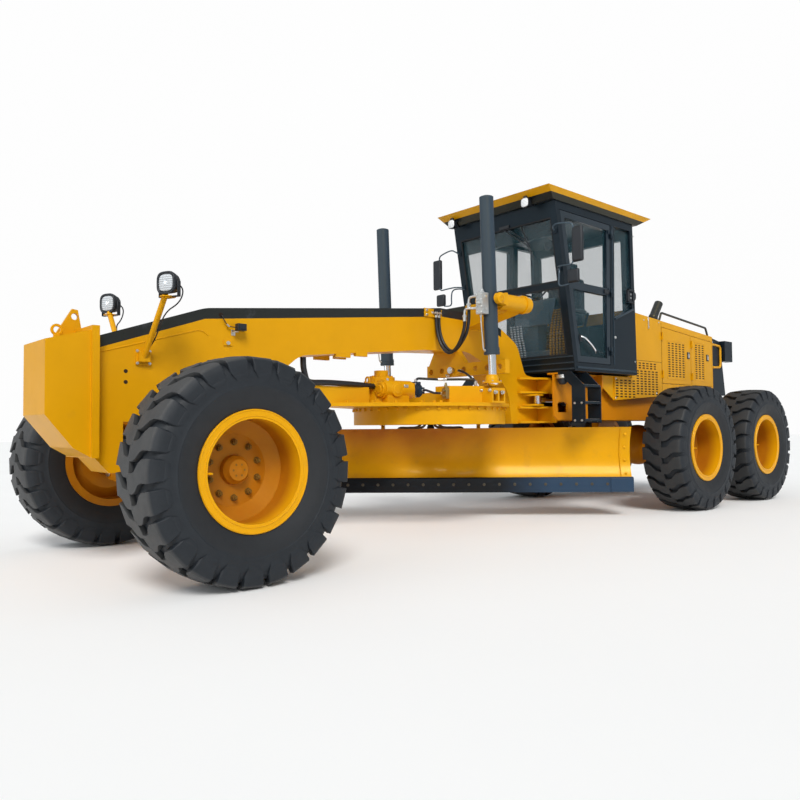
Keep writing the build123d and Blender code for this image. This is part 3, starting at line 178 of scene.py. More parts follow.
# ================ finishes
YELLOW = (0.71, 0.335, 0.003)
# painted shade: a deeper orange copy of the yellow, for the parts low on the frame and under it that lie in
# shade
SHADE_ORANGE_YELLOW = (0.64, 0.225, 0.004)
# painted shade: the orange that the rims' dish takes in shade
DISH_SHADE_ORANGE = (0.33, 0.085, 0.006)
# painted shade: the brown-orange of the blade's upper middle, which lies in the circle's shadow
BLADE_SHADE_BROWN = (0.3, 0.052, 0.01)
DIRT = (0.16, 0.11, 0.06)
CAB_BLACK = (0.0062, 0.0115, 0.0175)
BAND_BLACK = (0.01, 0.017, 0.026)
SCUFFED_BLACK = (0.045, 0.055, 0.07)
BARREL_BLUE = (0.026, 0.05, 0.082)
CONSOLE_GREY = (0.085, 0.115, 0.145)
SILVER = (0.55, 0.57, 0.58)
GLASS_TINT = (0.03, 0.085, 0.105)
WARM_SHINE, COOL_SHINE = (1.0, 0.78, 0.22), (0.66, 0.86, 1.0)


def paint(name, colour, rough=0.34, coat=0.07, grime=0.12, marks=None):
    """Sprayed gloss paint: slight orange peel, uneven gloss, and faint dirt in soft patches.

    `marks` gives (where, colour, metallic) for places of another colour, from the finish.
    """
    f = Finish(name)
    patches = f.noise(1.6, 5.0, 0.6).over(0.5, 0.5)
    tone = f.mix(patches, shade(colour, 1 - grime), shade(colour, 1.04))
    dirt = f.noise(7.0, 6.0, 0.7).over(0.68, 0.25) * (1 - f.z.over(0.75, 1.3)) * 0.4
    tone = f.mix(dirt, tone, DIRT)
    gloss = rough + f.noise(5.0) * 0.12 + dirt * 0.3
    shine = None
    for where, other, metallic in (marks(f) if marks else ()):
        tone = f.mix(where, tone, other)
        if metallic:
            shine = where * metallic
    peel = f.noise(150.0, 2.0)
    warm = max(colour) > 3 * min(colour)
    f.set(Base_Color=tone, Roughness=gloss, Coat_Weight=coat, Coat_Roughness=0.08,
          Specular_IOR_Level=0.4 if warm else 0.26, Specular_Tint=WARM_SHINE if warm else COOL_SHINE,
          Normal=f.bump(peel, 0.07, 0.0006))
    if shine is not None:
        f.set(Metallic=shine)
    return f.material


# outline of the beam's top edge: one place on each run, and its slope
BEAM_TOP = ((3.185, 1.765, -0.3412), (3.185, 1.765, -0.1009), (0.235, 1.985, 0.0333), (0.235, 1.985, 0.4296))
BAND_DEPTH = 0.078


def beam_marks(f):
    """The dark band along the top of the beam, the black foot of the hoses' clip, and worn spots."""
    top = 9.0
    for x, z, slope in BEAM_TOP:
        run = (f.x - x) * slope + z
        top = run if isinstance(top, float) else top.calc("MINIMUM", run)
    reach = f.inside(f.x, -0.02, 3.9465)
    band = (f.z - top).over(-BAND_DEPTH) * reach * (1 - abs(f.y).over(0.164))
    clip = f.inside(f.x, 0.862, 0.934) * f.inside(f.z, 1.92, 1.99) * f.y.over(0.1725)
    scuffed = f.noise(2.4, 6.0, 0.7).over(0.6, 0.12)
    return ((band, f.mix(scuffed, BAND_BLACK, SCUFFED_BLACK), 0), (clip, BAND_BLACK, 0))


# the hood's top line: a place on it and its slope
HOOD_TOP_X, HOOD_TOP_Z, HOOD_SLOPE = -1.69, 2.191, 0.0723


def hood_marks(f):
    """Dark hand rails and exhaust over the yellow hood."""
    over = (f.z - ((f.x - HOOD_TOP_X) * HOOD_SLOPE + HOOD_TOP_Z)).over(0.004)
    return ((over, (0.022, 0.028, 0.038), 0),)


def roof_marks(f):
    """The lower half of the roof's edge is part of the black header."""
    return ((1 - f.z.over(3.16), CAB_BLACK, 0),)


def guard_marks(f):
    """Yellow grab loops on the black radiator guard."""
    loop = abs(f.y).over(0.5362, 0.0008) * f.x.over(-4.015) * f.inside(f.z, 1.62, 1.98)
    return ((loop, YELLOW, 0),)


def barrel_marks(f):
    """The bright valve block on the front of a lift cylinder."""
    return ((f.x.over(0.824) * f.inside(f.z, 1.87, 2.0655), SILVER, 0.75),)


def drive_marks(f):
    """The dark motor and hoses behind the yellow gear case of the circle drive."""
    return ((1 - f.x.over(1.1985), (0.018, 0.026, 0.042), 0),)


def cab_marks(f):
    """The grey console inside the black cab."""
    console = (1 - abs(f.y).over(0.153)) * f.inside(f.x, -0.8, -0.617) * (1 - f.z.over(2.215))
    return ((console, CONSOLE_GREY, 0),)


def rim_shade_marks(f):
    """Painted shade: deeper orange down in the dish, which lies in shade."""
    deep = 1 - (abs(f.y) - HALF_TRACK).over(0.105, 0.1)
    return ((deep * (0.62 + f.noise(6.0, 4.0) * 0.3), DISH_SHADE_ORANGE, 0),)


def tyre_rubber(name, axle, worn):
    """Blue-black rubber, worn grey on the tread's faces and darker towards the rim."""
    f = Finish(name)
    dust = f.noise(9.0, 6.0, 0.7).over(0.5, 0.5)
    side = f.mix(dust * 0.6, (0.006, 0.009, 0.0135), (0.014, 0.0195, 0.026))
    radius = ((f.x - axle).calc("POWER", 2) + (f.z - AXLE_Z).calc("POWER", 2)).calc("SQRT")
    tread = radius.over(0.64, 0.012) * (0.55 + dust * 0.45)
    tone = f.mix(tread, side, (worn, worn, worn))
    tone = f.mix((1 - radius.over(0.475, 0.02)) * 0.5, tone, (0.012, 0.012, 0.013))
    return f.set(Base_Color=tone, Roughness=0.5 + f.noise(14.0) * 0.22, Specular_IOR_Level=0.45,
                 Normal=f.bump(f.noise(240.0, 4.0, 0.7), 0.35, 0.0012))


def metal(name, colour, rough, brushed=0.0, spots=0.0):
    """Bare metal; it may be brushed along z, and have rust spots."""
    f = Finish(name)
    streaks = f.noise(60.0, 4.0, 0.6, (1, 1, 0.06)) if brushed else f.noise(30.0)
    tone = f.mix(f.noise(12.0, 5.0, 0.65).over(0.6, 0.3) * spots, colour, (0.09, 0.045, 0.02))
    return f.set(Base_Color=tone, Roughness=rough + streaks * (0.08 + brushed), Metallic=1.0,
                 Normal=f.bump(streaks, 0.08, 0.0006))


def along_blade(f):
    """How far along the blade a place is, from its middle towards its left end."""
    return (f.y - (f.x - CIRCLE_X)) * cos(BLADE_TURN)


def edge_steel():
    """Rolled wear steel: dark oxide, with a painted reflection that turns it blue towards the blade's left
    end, and faint blue worn streaks.
    """
    f = Finish("edge_steel")
    # painted reflection: the blue grows towards the blade's left end; the noise adds faint worn streaks
    worn = along_blade(f).over(0.95, 0.5) * 0.8 + f.noise(8.0, 8.0, 0.7, (1, 1, 3)).over(0.62, 0.2) * 0.12
    tone = f.mix(worn, (0.0035, 0.0045, 0.0065), (0.026, 0.06, 0.115))
    return f.set(Base_Color=tone, Roughness=0.3 + worn * 0.1, Metallic=0.3, Coat_Weight=0.1,
                 Specular_IOR_Level=0.3, Normal=f.bump(f.noise(90.0, 6.0), 0.2, 0.001))


def blade_shade_marks(f):
    """Painted shade: brown-orange over the upper middle of the blade, which tilts down in the shadow of the
    circle.
    """
    along = abs(along_blade(f) + 0.35).over(1.15, 1.5)
    up = f.z.over(0.66, 0.4) * f.z.over(0.45, 0.2)
    return (((1 - along) * up * (0.55 + f.noise(3.0, 4.0) * 0.5), BLADE_SHADE_BROWN, 0),)


def plastic(name, colour, rough):
    """Grained plastic or plain rubber."""
    f = Finish(name)
    tone = f.mix(f.noise(3.0).over(0.5, 0.6), shade(colour, 0.85), shade(colour, 1.15))
    return f.set(Base_Color=tone, Roughness=rough + f.noise(20.0) * 0.1,
                 Normal=f.bump(f.noise(600.0, 2.0), 0.25, 0.0006))


def glass(name, tint, alpha):
    """Tinted glass, which lets through what its alpha leaves."""
    f = Finish(name)
    film = f.noise(2.5, 4.0).over(0.5, 0.7)
    return f.set(Base_Color=f.mix(film, tint, shade(tint, 1.5)), Roughness=0.02 + film * 0.03, Alpha=alpha,
                 Coat_Weight=1.0, Coat_Roughness=0.02, Specular_IOR_Level=0.8)


# the panes of a cab door: its faces between these distances from the middle are glass
PANE_LOW, PANE_HIGH = 0.649, 0.657


def door_finish():
    """Black frame and tinted panes of a cab door, told apart by their depth."""
    f = Finish("cab_door_paint")
    side = abs(f.y)
    facing = f.tree.nodes.new("ShaderNodeSeparateXYZ")
    f.tree.links.new(f.node("ShaderNodeTexCoord", {}, [], "Normal").socket, facing.inputs[0])
    flat = abs(Value(f, facing.outputs[1])).over(0.9, 0.05)
    pane = side.over(PANE_LOW, 0.0004) * (1 - side.over(PANE_HIGH, 0.0004)) * flat
    tone = f.mix(pane, f.mix(f.noise(2.0).over(0.5, 0.5), CAB_BLACK, shade(CAB_BLACK, 1.5)), GLASS_TINT)
    return f.set(Base_Color=tone, Roughness=0.3 - pane * 0.27, Alpha=1 - pane * 0.82, Coat_Weight=0.3,
                 Coat_Roughness=0.03, Specular_Tint=COOL_SHINE)


def cloth(name, colour):
    """Woven seat cloth."""
    f = Finish(name)
    warp, weft, rib = f.wave(110.0, "Y"), f.wave(110.0), f.wave(5.0, "Y")
    tone = f.mix(rib, shade(colour, 0.75), shade(colour, 1.4))
    return f.set(Base_Color=tone, Roughness=0.85 + weft * 0.1, Sheen_Weight=0.3,
                 Normal=f.bump(warp * weft * 0.3 + rib, 0.25, 0.002))


def lamp_glass(name, colour, glow=0.0):
    """Ribbed lens or reflector of a lamp."""
    f = Finish(name)
    ribs = f.wave(22.0)
    return f.set(Base_Color=f.mix(ribs, shade(colour, 0.55), colour), Roughness=0.12 + ribs * 0.05,
                 Coat_Weight=0.6, Emission_Color=colour, Emission_Strength=glow,
                 Normal=f.bump(ribs, 0.3, 0.002))


def ribbed_hose(name, colour):
    """Corrugated hose: rings around it, told by height; the grooves between them are painted darker, as
    shade.
    """
    f = Finish(name)
    rings = f.wave(12.0)
    return f.set(Base_Color=f.mix(rings, shade(colour, 0.22), colour), Roughness=0.55 + rings * 0.1,
                 Normal=f.bump(rings, 0.8, 0.004))


yellow = paint("yellow_paint", YELLOW)
beam_yellow = paint("beam_paint", YELLOW, marks=beam_marks)
hood_yellow = paint("hood_paint", YELLOW, marks=hood_marks)
roof_yellow = paint("roof_paint", YELLOW, marks=roof_marks)
drive_yellow = paint("circle_drive_paint", YELLOW, marks=drive_marks)
# painted shade: the low parts take an orange, shaded copy of the yellow paint
shaded_yellow = paint("shaded_under_paint", SHADE_ORANGE_YELLOW, grime=0.2)
blade_yellow = paint("blade_paint", YELLOW, rough=0.26, marks=blade_shade_marks)
rim_yellow = paint("rim_paint", shade(YELLOW, 1.03), rough=0.3, grime=0.08, marks=rim_shade_marks)
nut_bronze = paint("nut_paint", (0.23, 0.115, 0.02), rough=0.4, grime=0.4)
black = paint("black_paint", CAB_BLACK, rough=0.34, coat=0.1, grime=0.2)
guard_black = paint("guard_paint", CAB_BLACK, rough=0.38, coat=0.1, grime=0.2, marks=guard_marks)
cab_black = paint("cab_paint", CAB_BLACK, rough=0.3, coat=0.06, grime=0.2, marks=cab_marks)
trim_paint = paint("cab_trim_paint", (0.03, 0.046, 0.062), rough=0.3)
mirror_bar = paint("mirror_bar_paint", (0.05, 0.075, 0.1), rough=0.25, coat=0.5)
barrel_blue = paint("cylinder_paint", BARREL_BLUE, rough=0.4, coat=0.05, grime=0.1)
lift_blue = paint("lift_cylinder_paint", BARREL_BLUE, rough=0.4, coat=0.05, grime=0.1, marks=barrel_marks)
motor_paint = paint("motor_paint", (0.02, 0.034, 0.058), rough=0.4)
engine_paint = paint("engine_paint", (0.045, 0.05, 0.055), rough=0.45)
chrome = metal("rod_chrome", (0.86, 0.88, 0.9), 0.1, brushed=0.04)
zinc = metal("zinc_plating", (0.72, 0.73, 0.72), 0.28, spots=0.1)
dark_bolt = metal("oiled_bolt", (0.1, 0.09, 0.07), 0.38, spots=0.3)
brass = metal("brass_valve", (0.42, 0.33, 0.16), 0.3)
core = metal("radiator_core", (0.03, 0.03, 0.032), 0.5)
mirror_glass = metal("mirror_glass", (0.8, 0.83, 0.86), 0.02)
edge = edge_steel()
hose_rubber = plastic("hose_rubber", (0.009, 0.01, 0.013), 0.38)
black_plastic = plastic("black_plastic", (0.01, 0.013, 0.018), 0.42)
console_grey = plastic("console_plastic", CONSOLE_GREY, 0.5)
# dark_gap is painted shade in slots and holes that open into shadow; on the hood's seams it marks dark joints
dark_gap = plastic("dark_gap", (0.02, 0.008, 0.003), 0.9)
seal = plastic("door_seal", (0.005, 0.006, 0.008), 0.7)
window = glass("window_glass", GLASS_TINT, 0.17)
visor_tint = glass("visor_tint", (0.006, 0.009, 0.012), 0.85)
seat_cloth = cloth("seat_cloth", (0.035, 0.042, 0.052))
clear_lens = lamp_glass("clear_lens", (0.88, 0.9, 0.91), 0.12)
reflector = lamp_glass("lamp_reflector", (0.6, 0.63, 0.66))
red_lens = lamp_glass("red_lens", (0.45, 0.01, 0.008), 0.05)
pale_hose = ribbed_hose("pale_ribbed_hose", (0.42, 0.45, 0.48))
ochre_hose = ribbed_hose("ochre_ribbed_hose", (0.5, 0.26, 0.035))

# finish of each node of the frame; a star stands for both sides
NODE_FINISHES = {
    yellow: "drawbar circle hood_door_front_* hood_door_rear_* lift_yoke_*",
    shaded_yellow: "rear_frame tandem_axle front_axle lean_bracket_* knuckle_* blade_carrier",
    blade_yellow: "moldboard",
    beam_yellow: "front_frame",
    hood_yellow: "hood",
    roof_yellow: "cab_roof",
    drive_yellow: "circle_drive",
    rim_yellow: "rim_front_* rim_middle_* rim_rear_*",
    black: "ladders lean_bar tie_rod tie_rod_end mirrors lamps_and_hoses",
    cab_black: "cab_frame",
    guard_black: "radiator_guard",
    zinc: "drawbar_ball",
    core: "engine_block",
    barrel_blue: "articulation_barrel_* lean_cylinder_barrel pitch_cylinder_barrel",
    lift_blue: "lift_barrel_*",
    chrome: "lift_rod_* articulation_rod_* lean_cylinder_rod pitch_cylinder_rod",
    edge: "cutting_edge",
    window: "cab_glass",
    door_finish(): "cab_door_*",
    seat_cloth: "operator_seat",
}
for finish, names in NODE_FINISHES.items():
    for name in {n.replace("*", side) for n in names.split() for side, _ in SIDES}:
        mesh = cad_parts[name].data
        mesh.materials.clear()
        mesh.materials.append(finish)


# ================ shapes
def box(mesh, x, y, z, sign=1):
    """A block between two places on each axis; y counts outward on the side of `sign`."""
    low, high = Vector((x[0], min(sign * v for v in y), z[0])), Vector((x[1], max(sign * v for v in y), z[1]))
    made = bmesh.ops.create_cube(mesh, size=1)["verts"]
    bmesh.ops.scale(mesh, vec=high - low, verts=made)
    bmesh.ops.translate(mesh, vec=(low + high) / 2, verts=made)


def turn_to(way):
    return Vector(way).to_track_quat("Z", "Y").to_matrix().to_4x4()


def rod(mesh, start, end, radius, sides=24):
    start, end = Vector(start), Vector(end)
    place = Matrix.Translation((start + end) / 2) @ turn_to(end - start)
    bmesh.ops.create_cone(mesh, cap_ends=True, segments=sides, radius1=radius, radius2=radius,
                          depth=(end - start).length, matrix=place)


def bolt(mesh, place, way, across=0.026, height=0.013, washer=True):
    """A hexagon head, with a washer under it."""
    place, way = Vector(place), Vector(way).normalized()
    foot = place
    if washer:
        rod(mesh, place, place + way * 0.003, across * 0.72, sides=14)
        foot = place + way * 0.003
    rod(mesh, foot, foot + way * height, across / 2 * 1.155, sides=6)


def bolt_ring(mesh, centre, way, radius, count, across=0.024, height=0.014, start=0.0, washer=True):
    """Bolts on a circle around an axis."""
    place = Matrix.Translation(centre) @ turn_to(way)
    for step in range(count):
        a = start + tau * step / count
        bolt(mesh, place @ Vector((radius * cos(a), radius * sin(a), 0)), way, across, height, washer)


def fitting(mesh, start, end, radius):
    """A crimped sleeve and a hexagon nut between two points."""
    start, end = Vector(start), Vector(end)
    middle = start.lerp(end, 0.6)
    rod(mesh, start, middle, radius * 1.18, sides=16)
    rod(mesh, middle, middle.lerp(end, 0.6), radius * 1.5, sides=6)
    rod(mesh, middle.lerp(end, 0.6), end, radius * 0.9, sides=16)


def plate(mesh, outline, thickness):
    """A flat outline given thickness along a vector."""
    face = mesh.faces.new([mesh.verts.new(p) for p in outline])
    made = bmesh.ops.extrude_face_region(mesh, geom=[face])["geom"]
    bmesh.ops.translate(mesh, vec=thickness, verts=[v for v in made if isinstance(v, bmesh.types.BMVert)])


def turned_shape(mesh, profile, centre, axis, steps=48):
    """Spins a profile of (radius, height along the axis) points into a closed shape."""
    points = [mesh.verts.new((r, 0, h)) for r, h in profile]
    edges = [mesh.edges.new(pair) for pair in zip(points, points[1:])]
    if all(r > 1e-6 for r, _ in (profile[0], profile[-1])):
        edges.append(mesh.edges.new((points[-1], points[0])))
    place = Matrix.Translation(centre) @ turn_to(axis)
    spun = bmesh.ops.spin(mesh, geom=points + edges, cent=(0, 0, 0), axis=(0, 0, 1), angle=tau, steps=steps,
                          use_merge=True)["geom_last"]
    reach, done = set(points) | {g for g in spun if isinstance(g, bmesh.types.BMVert)}, set()
    while reach:
        vert = reach.pop()
        done.add(vert)
        reach |= {e.other_vert(vert) for e in vert.link_edges} - done
    bmesh.ops.transform(mesh, matrix=place, verts=list(done))
    bmesh.ops.remove_doubles(mesh, verts=list(done), dist=1e-6)


def cap(mesh, centre, axis, *profile, steps=48):
    """A round cap, flat in the middle of its top and of its foot."""
    turned_shape(mesh, ((0.0, profile[0][1]), *profile, (0.0, profile[-1][1])), centre, axis, steps)


def ring(mesh, centre, axis, inner, outer, half):
    """A square ring, as far in front of its centre as behind it."""
    turned_shape(mesh, ((inner, -half), (outer, -half), (outer, half), (inner, half)), centre, axis)


def rounded_case(mesh, centre, rings, steps=24, squareness=3.4):
    """A rounded square drawn along x: rings of (place along x, half size)."""
    loops = []
    for x, half in rings:
        verts = []
        for step in range(steps):
            a = tau * step / steps
            c, s = cos(a), sin(a)
            reach = half / (abs(c) ** squareness + abs(s) ** squareness) ** (1 / squareness)
            verts.append(mesh.verts.new((centre[0] + x, centre[1] + reach * c, centre[2] + reach * s)))
        loops.append([mesh.edges.new(pair) for pair in zip(verts, verts[1:] + verts[:1])])
    for first, second in zip(loops, loops[1:]):
        bmesh.ops.bridge_loops(mesh, edges=first + second)
    for loop in (loops[0], loops[-1]):
        bmesh.ops.contextual_create(mesh, geom=loop)


def slots(mesh, sign, face, columns, rows, wide, high=0.0135):
    """Dark slots on a panel at y = face, thin sheets of painted shade where it opens: the places of their
    columns along x and their rows along z.
    """
    for x, z in product(columns, rows):
        box(mesh, (x - wide / 2, x + wide / 2), (face - 0.001, face + 0.0007), (z - high / 2, z + high / 2),
            sign)


def spaced(low, high, count):
    return [low + (high - low) * step / (count - 1) for step in range(count)]


def on_side(sign, *points):
    """Points on one side, from points whose y counts outward."""
    return [Vector((x, sign * y, z)) for x, y, z in points]


# ================ pieces
def rides(made, finish, body):
    """Puts an object in the scene, on a body, with its finish and the slot of that finish."""
    made.data.materials.append(finish)
    bpy.context.scene.collection.objects.link(made)
    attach(made, body)
    return made


def piece(name, mesh, finish, body="rear_body", slot=None, bevel=0.0, segments=2, smooth=40, subdivide=0):
    """Makes a mesh an object that rides on a body and takes a finish; `slot` is not used."""
    bmesh.ops.recalc_face_normals(mesh, faces=mesh.faces[:])
    data = bpy.data.meshes.new(name)
    mesh.to_mesh(data)
    mesh.free()
    made = bpy.data.objects.new(name, data)
    if bevel:
        edge_round = made.modifiers.new("edges", "BEVEL")
        edge_round.width, edge_round.segments, edge_round.limit_method = bevel, segments, "ANGLE"
        edge_round.angle_limit = radians(35)
    if subdivide:
        soften = made.modifiers.new("smooth", "SUBSURF")
        soften.levels = soften.render_levels = subdivide
    if smooth:
        data.shade_smooth()
        data.set_sharp_from_angle(angle=radians(smooth))
    return rides(made, finish, body)


def single(finish, body="rear_body", slot=None, **looks):
    """Makes one piece, with the name of the function below it, which fills its mesh."""
    def make(build):
        mesh = bmesh.new()
        build(mesh)
        return piece(build.__name__, mesh, finish, body, slot, **looks)
    return make


def sided(finish, body="rear_body", slot=None, **looks):
    """Makes a piece for each side; the function below it fills a mesh for a side of +1 or -1."""
    def make(build):
        made = []
        for side, sign in SIDES:
            mesh = bmesh.new()
            build(mesh, sign)
            made.append(piece(f"{build.__name__}_{side}", mesh, finish, body.format(side=side), slot,
                              **looks))
        return made
    return make


def tube(name, points, radius, finish=hose_rubber, body="rear_body"):
    """A smooth tube that runs along its route's points."""
    data = bpy.data.curves.new(name, "CURVE")
    data.dimensions = "3D"
    line = data.splines.new("NURBS")
    line.points.add(len(points) - 1)
    for point, place in zip(line.points, points):
        point.co = (*place, 1)
    line.order_u, line.use_endpoint_u, line.resolution_u = 3, True, 8
    data.bevel_depth, data.bevel_resolution, data.use_fill_caps = radius, 4, True
    return rides(bpy.data.objects.new(name, data), finish, body)


def crossing_hose(name, points, radius, body):
    """A hose that crosses a joint, turned into one mesh that stays put and rides on no body."""
    line = tube(name, points, radius, body=body)
    bpy.context.view_layer.update()
    data = bpy.data.meshes.new_from_object(line)
    bpy.data.objects.remove(line)
    made = bpy.data.objects.new(f"{name}_crossing", data)
    bpy.context.scene.collection.objects.link(made)
    data.shade_smooth()
    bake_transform(made)


# ================ tyres and wheel nuts
ROWS, LUGS = ("front", "middle", "rear"), 24
# lateral place, radius of the casing, from the outer bead to the middle of the tread
CASING = ((0.15, 0.327), (0.172, 0.34), (0.184, 0.372), (0.206, 0.42), (0.218, 0.468), (0.2188, 0.4815),
          (0.2212, 0.4845), (0.2212, 0.4895), (0.2196, 0.4925), (0.2205, 0.52), (0.217, 0.553),
          (0.207, 0.588), (0.186, 0.614), (0.15, 0.626), (0.075, 0.632))
CROWN_R = 0.6335
# lateral place, radius of the lug's top, lead around the tyre, half width, radius of its foot
LUG = ((0.2195, 0.538, -0.03, 0.03, 0.52), (0.2225, 0.56, -0.03, 0.041, 0.54),
       (0.2225, 0.592, -0.03, 0.054, 0.56), (0.213, 0.634, -0.03, 0.063, 0.58),
       (0.196, 0.6515, -0.03, 0.064, 0.6), (0.15, 0.6585, -0.028, 0.062, 0.61),
       (0.118, 0.6605, -0.012, 0.057, 0.612), (0.078, 0.6635, 0.03, 0.054, 0.618),
       (0.048, 0.6648, 0.04, 0.056, 0.62), (-0.012, 0.665, 0.042, 0.054, 0.622))


def add_lug(mesh, turn, face_side):
    """One lug at an angle on a half of the tread, grown from section to section."""
    section, inner = None, []
    for lateral, top, lead, half, foot in LUG:
        corners = []
        for radius, reach in ((foot, half * 0.98), (foot, -half * 0.98), (top, -half), (top, half)):
            a = turn + (lead + reach) / radius
            corners.append(Vector((radius * cos(a), radius * sin(a), lateral * face_side)))
        if section is None:
            section = mesh.faces.new([mesh.verts.new(p) for p in corners])
            continue
        inner.append(section)
        grown = bmesh.ops.extrude_face_region(mesh, geom=[section])["geom"]
        section = next(g for g in grown if isinstance(g, bmesh.types.BMFace))
        for vert, place in zip(section.verts, corners):
            vert.co = place
    # the first section closes the lug's end, and the others would lie inside it
    bmesh.ops.delete(mesh, geom=inner[1:], context="FACES_ONLY")


def tyre_mesh(centre, sign):
    mesh = bmesh.new()
    half = [(r, v) for v, r in CASING]
    turned_shape(mesh, half + [(CROWN_R, 0.0)] + [(r, -v) for r, v in reversed(half)], (0, 0, 0), Z, steps=96)
    for number, face_side in product(range(LUGS), (1, -1)):
        add_lug(mesh, tau * (number + (0.5 if face_side < 0 else 0)) / LUGS, face_side)
    # from lying flat to standing on the axle
    bmesh.ops.rotate(mesh, matrix=Matrix.Rotation(radians(-90) * sign, 3, "X"), verts=mesh.verts[:])
    bmesh.ops.translate(mesh, vec=centre, verts=mesh.verts[:])
    return mesh


def tyre_centre(wheel):
    low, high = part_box(f"tyre_{wheel}")
    return (Vector(low) + Vector(high)) / 2


for row in ROWS:
    rubber = tyre_rubber(f"{row}_tyre_rubber", tyre_centre(f"{row}_left").x,
                         0.055 if row == "front" else 0.026)
    for side, sign in SIDES:
        mesh = tyre_mesh(tyre_centre(f"{row}_{side}"), sign)
        made = piece(f"lugged_tyre_{row}_{side}", mesh, rubber, f"wheel_{row}_{side}", "tyre_rubber",
                     bevel=0.005, smooth=38)
        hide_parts(f"tyre_{row}_{side}")

# lateral place of the disc's face, radius of the ring of nuts, how many
NUT_RINGS = {"front": (-0.055 - 0.018, 0.165, 10), "middle": (-0.095 - 0.018, 0.17, 12),
             "rear": (-0.095 - 0.018, 0.17, 12)}
HUB_REACH = 0.0425

for row, (side, sign) in product(ROWS, SIDES):
    wheel, out = f"{row}_{side}", Y * sign
    centre = tyre_centre(wheel)
    face, nut_ring, count = NUT_RINGS[row]
    mesh = bmesh.new()
    for step in range(count):
        a = tau * (step + 0.5) / count
        spot = centre + out * face + X * (nut_ring * cos(a)) + Z * (nut_ring * sin(a))
        bolt(mesh, spot, out, 0.03, 0.02)
        rod(mesh, spot, spot + out * 0.034, 0.0085, sides=12)
    hub = centre + out * (face + 0.018 + HUB_REACH)
    for step in range(6):
        a = tau * step / 6
        bolt(mesh, hub + X * (0.036 * cos(a)) + Z * (0.036 * sin(a)) - out * 0.001, out, 0.014, 0.008, False)
    piece(f"wheel_nuts_{wheel}", mesh, nut_bronze, f"wheel_{wheel}", bevel=0.001, segments=1)
    mesh = bmesh.new()
    profile = ((0.0, 0.014), (0.022, 0.013), (0.03, 0.008), (0.062, 0.006), (0.066, 0.0), (0.0, 0.0))
    turned_shape(mesh, profile, hub - out * 0.001, out, steps=40)
    # the valve, and the two lock rings of the rim
    spot = centre + out * 0.17 + X * 0.31
    rod(mesh, spot - out * 0.02 - X * 0.012, spot + out * 0.035 - X * 0.03, 0.0065, sides=12)
    for radius in (0.316, 0.349):
        angles = [tau * k / 6 for k in range(6)]
        profile = [(radius + 0.0045 * cos(a), 0.186 + 0.0045 * sin(a)) for a in angles]
        turned_shape(mesh, profile, centre, out, steps=72)
    piece(f"hub_cover_{wheel}", mesh, rim_yellow, f"wheel_{wheel}", bevel=0.001, segments=1)


# ================ front lamps
LAMP_X, LAMP_Y, LAMP_Z = 3.605, 0.5, 1.835
LAMP_TURN = radians(24)


def aim(mesh, sign):
    """Turns a lamp's head; both heads look to the left of straight ahead."""
    bmesh.ops.rotate(mesh, cent=(LAMP_X, sign * LAMP_Y, LAMP_Z), matrix=Matrix.Rotation(LAMP_TURN, 3, "Z"),
                     verts=mesh.verts[:])


@sided(black_plastic, "front_body", bevel=0.0025)
def front_lamp_case(mesh, sign):
    x, y, z = LAMP_X, sign * LAMP_Y, LAMP_Z
    rounded_case(mesh, (x, y, z), ((-0.06, 0.03), (-0.052, 0.045), (-0.03, 0.058), (0.015, 0.07),
                                   (0.034, 0.073), (0.04, 0.07), (0.037, 0.06), (0.03, 0.056)), 32)
    for low in (-0.079, 0.071):
        box(mesh, (x - 0.018, x + 0.012), (y + low, y + low + 0.006), (z - 0.085, z + 0.012))
    box(mesh, (x - 0.018, x + 0.012), (y - 0.079, y + 0.077), (z - 0.088, z - 0.081))
    rod(mesh, (x - 0.075, y, z), (x - 0.055, y, z), 0.022)
    aim(mesh, sign)


@sided(reflector, "front_body", bevel=0.002)
def front_lamp_reflector(mesh, sign):
    rings = ((0.026, 0.0535), (0.035, 0.0545), (0.0375, 0.048), (0.0392, 0.02))
    rounded_case(mesh, (LAMP_X, sign * LAMP_Y, LAMP_Z), rings, 32)
    aim(mesh, sign)


@sided(mirror_glass, "front_body")
def front_lamp_bulb(mesh, sign):
    turned_shape(mesh, ((0, 0.006), (0.012, 0.005), (0.017, 0.0), (0.017, -0.003), (0, -0.003)),
                 (LAMP_X + 0.036, sign * LAMP_Y, LAMP_Z), X, 24)
    aim(mesh, sign)


@sided(yellow, "front_body", bevel=0.0015)
def front_lamp_post(mesh, sign):
    rod(mesh, *on_side(sign, (3.636, 0.186, 1.388), (3.622, 0.482, 1.768)), 0.0185)
    for low, high, radius in ((1.748, 1.754, 0.05), (1.741, 1.748, 0.024)):
        rod(mesh, *on_side(sign, (3.61, 0.487, low), (3.61, 0.487, high)), radius)
    box(mesh, (3.585, 3.685), (BEAM_FACE, 0.17), (1.335, 1.44), sign)
    for x in (3.602, 3.668):
        box(mesh, (x - 0.004, x + 0.004), (0.169, 0.2), (1.355, 1.425), sign)
    box(mesh, (3.602, 3.668), (0.196, 0.2), (1.355, 1.425), sign)


@sided(zinc, "front_body")
def front_lamp_bolts(mesh, sign):
    for x, z in product((3.593, 3.677), (1.347, 1.428)):
        bolt(mesh, (x, sign * 0.17, z), Y * sign, 0.014, 0.008)
    bolt(mesh, (3.61, sign * 0.487, 1.754), -Z, 0.018, 0.01)


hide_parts("lamps_and_hoses")
for side, sign in SIDES:
    route = on_side(sign, (LAMP_X - 0.072, 0.5, 1.83), (LAMP_X - 0.1, 0.5, 1.81),
                    (LAMP_X - 0.075, 0.49, 1.72), (3.603, 0.42, 1.66), (3.606, 0.3, 1.505),
                    (3.605, 0.178, 1.445), (3.604, 0.158, 1.44))
    tube(f"front_lamp_lead_{side}", route, 0.0045, body="front_body")

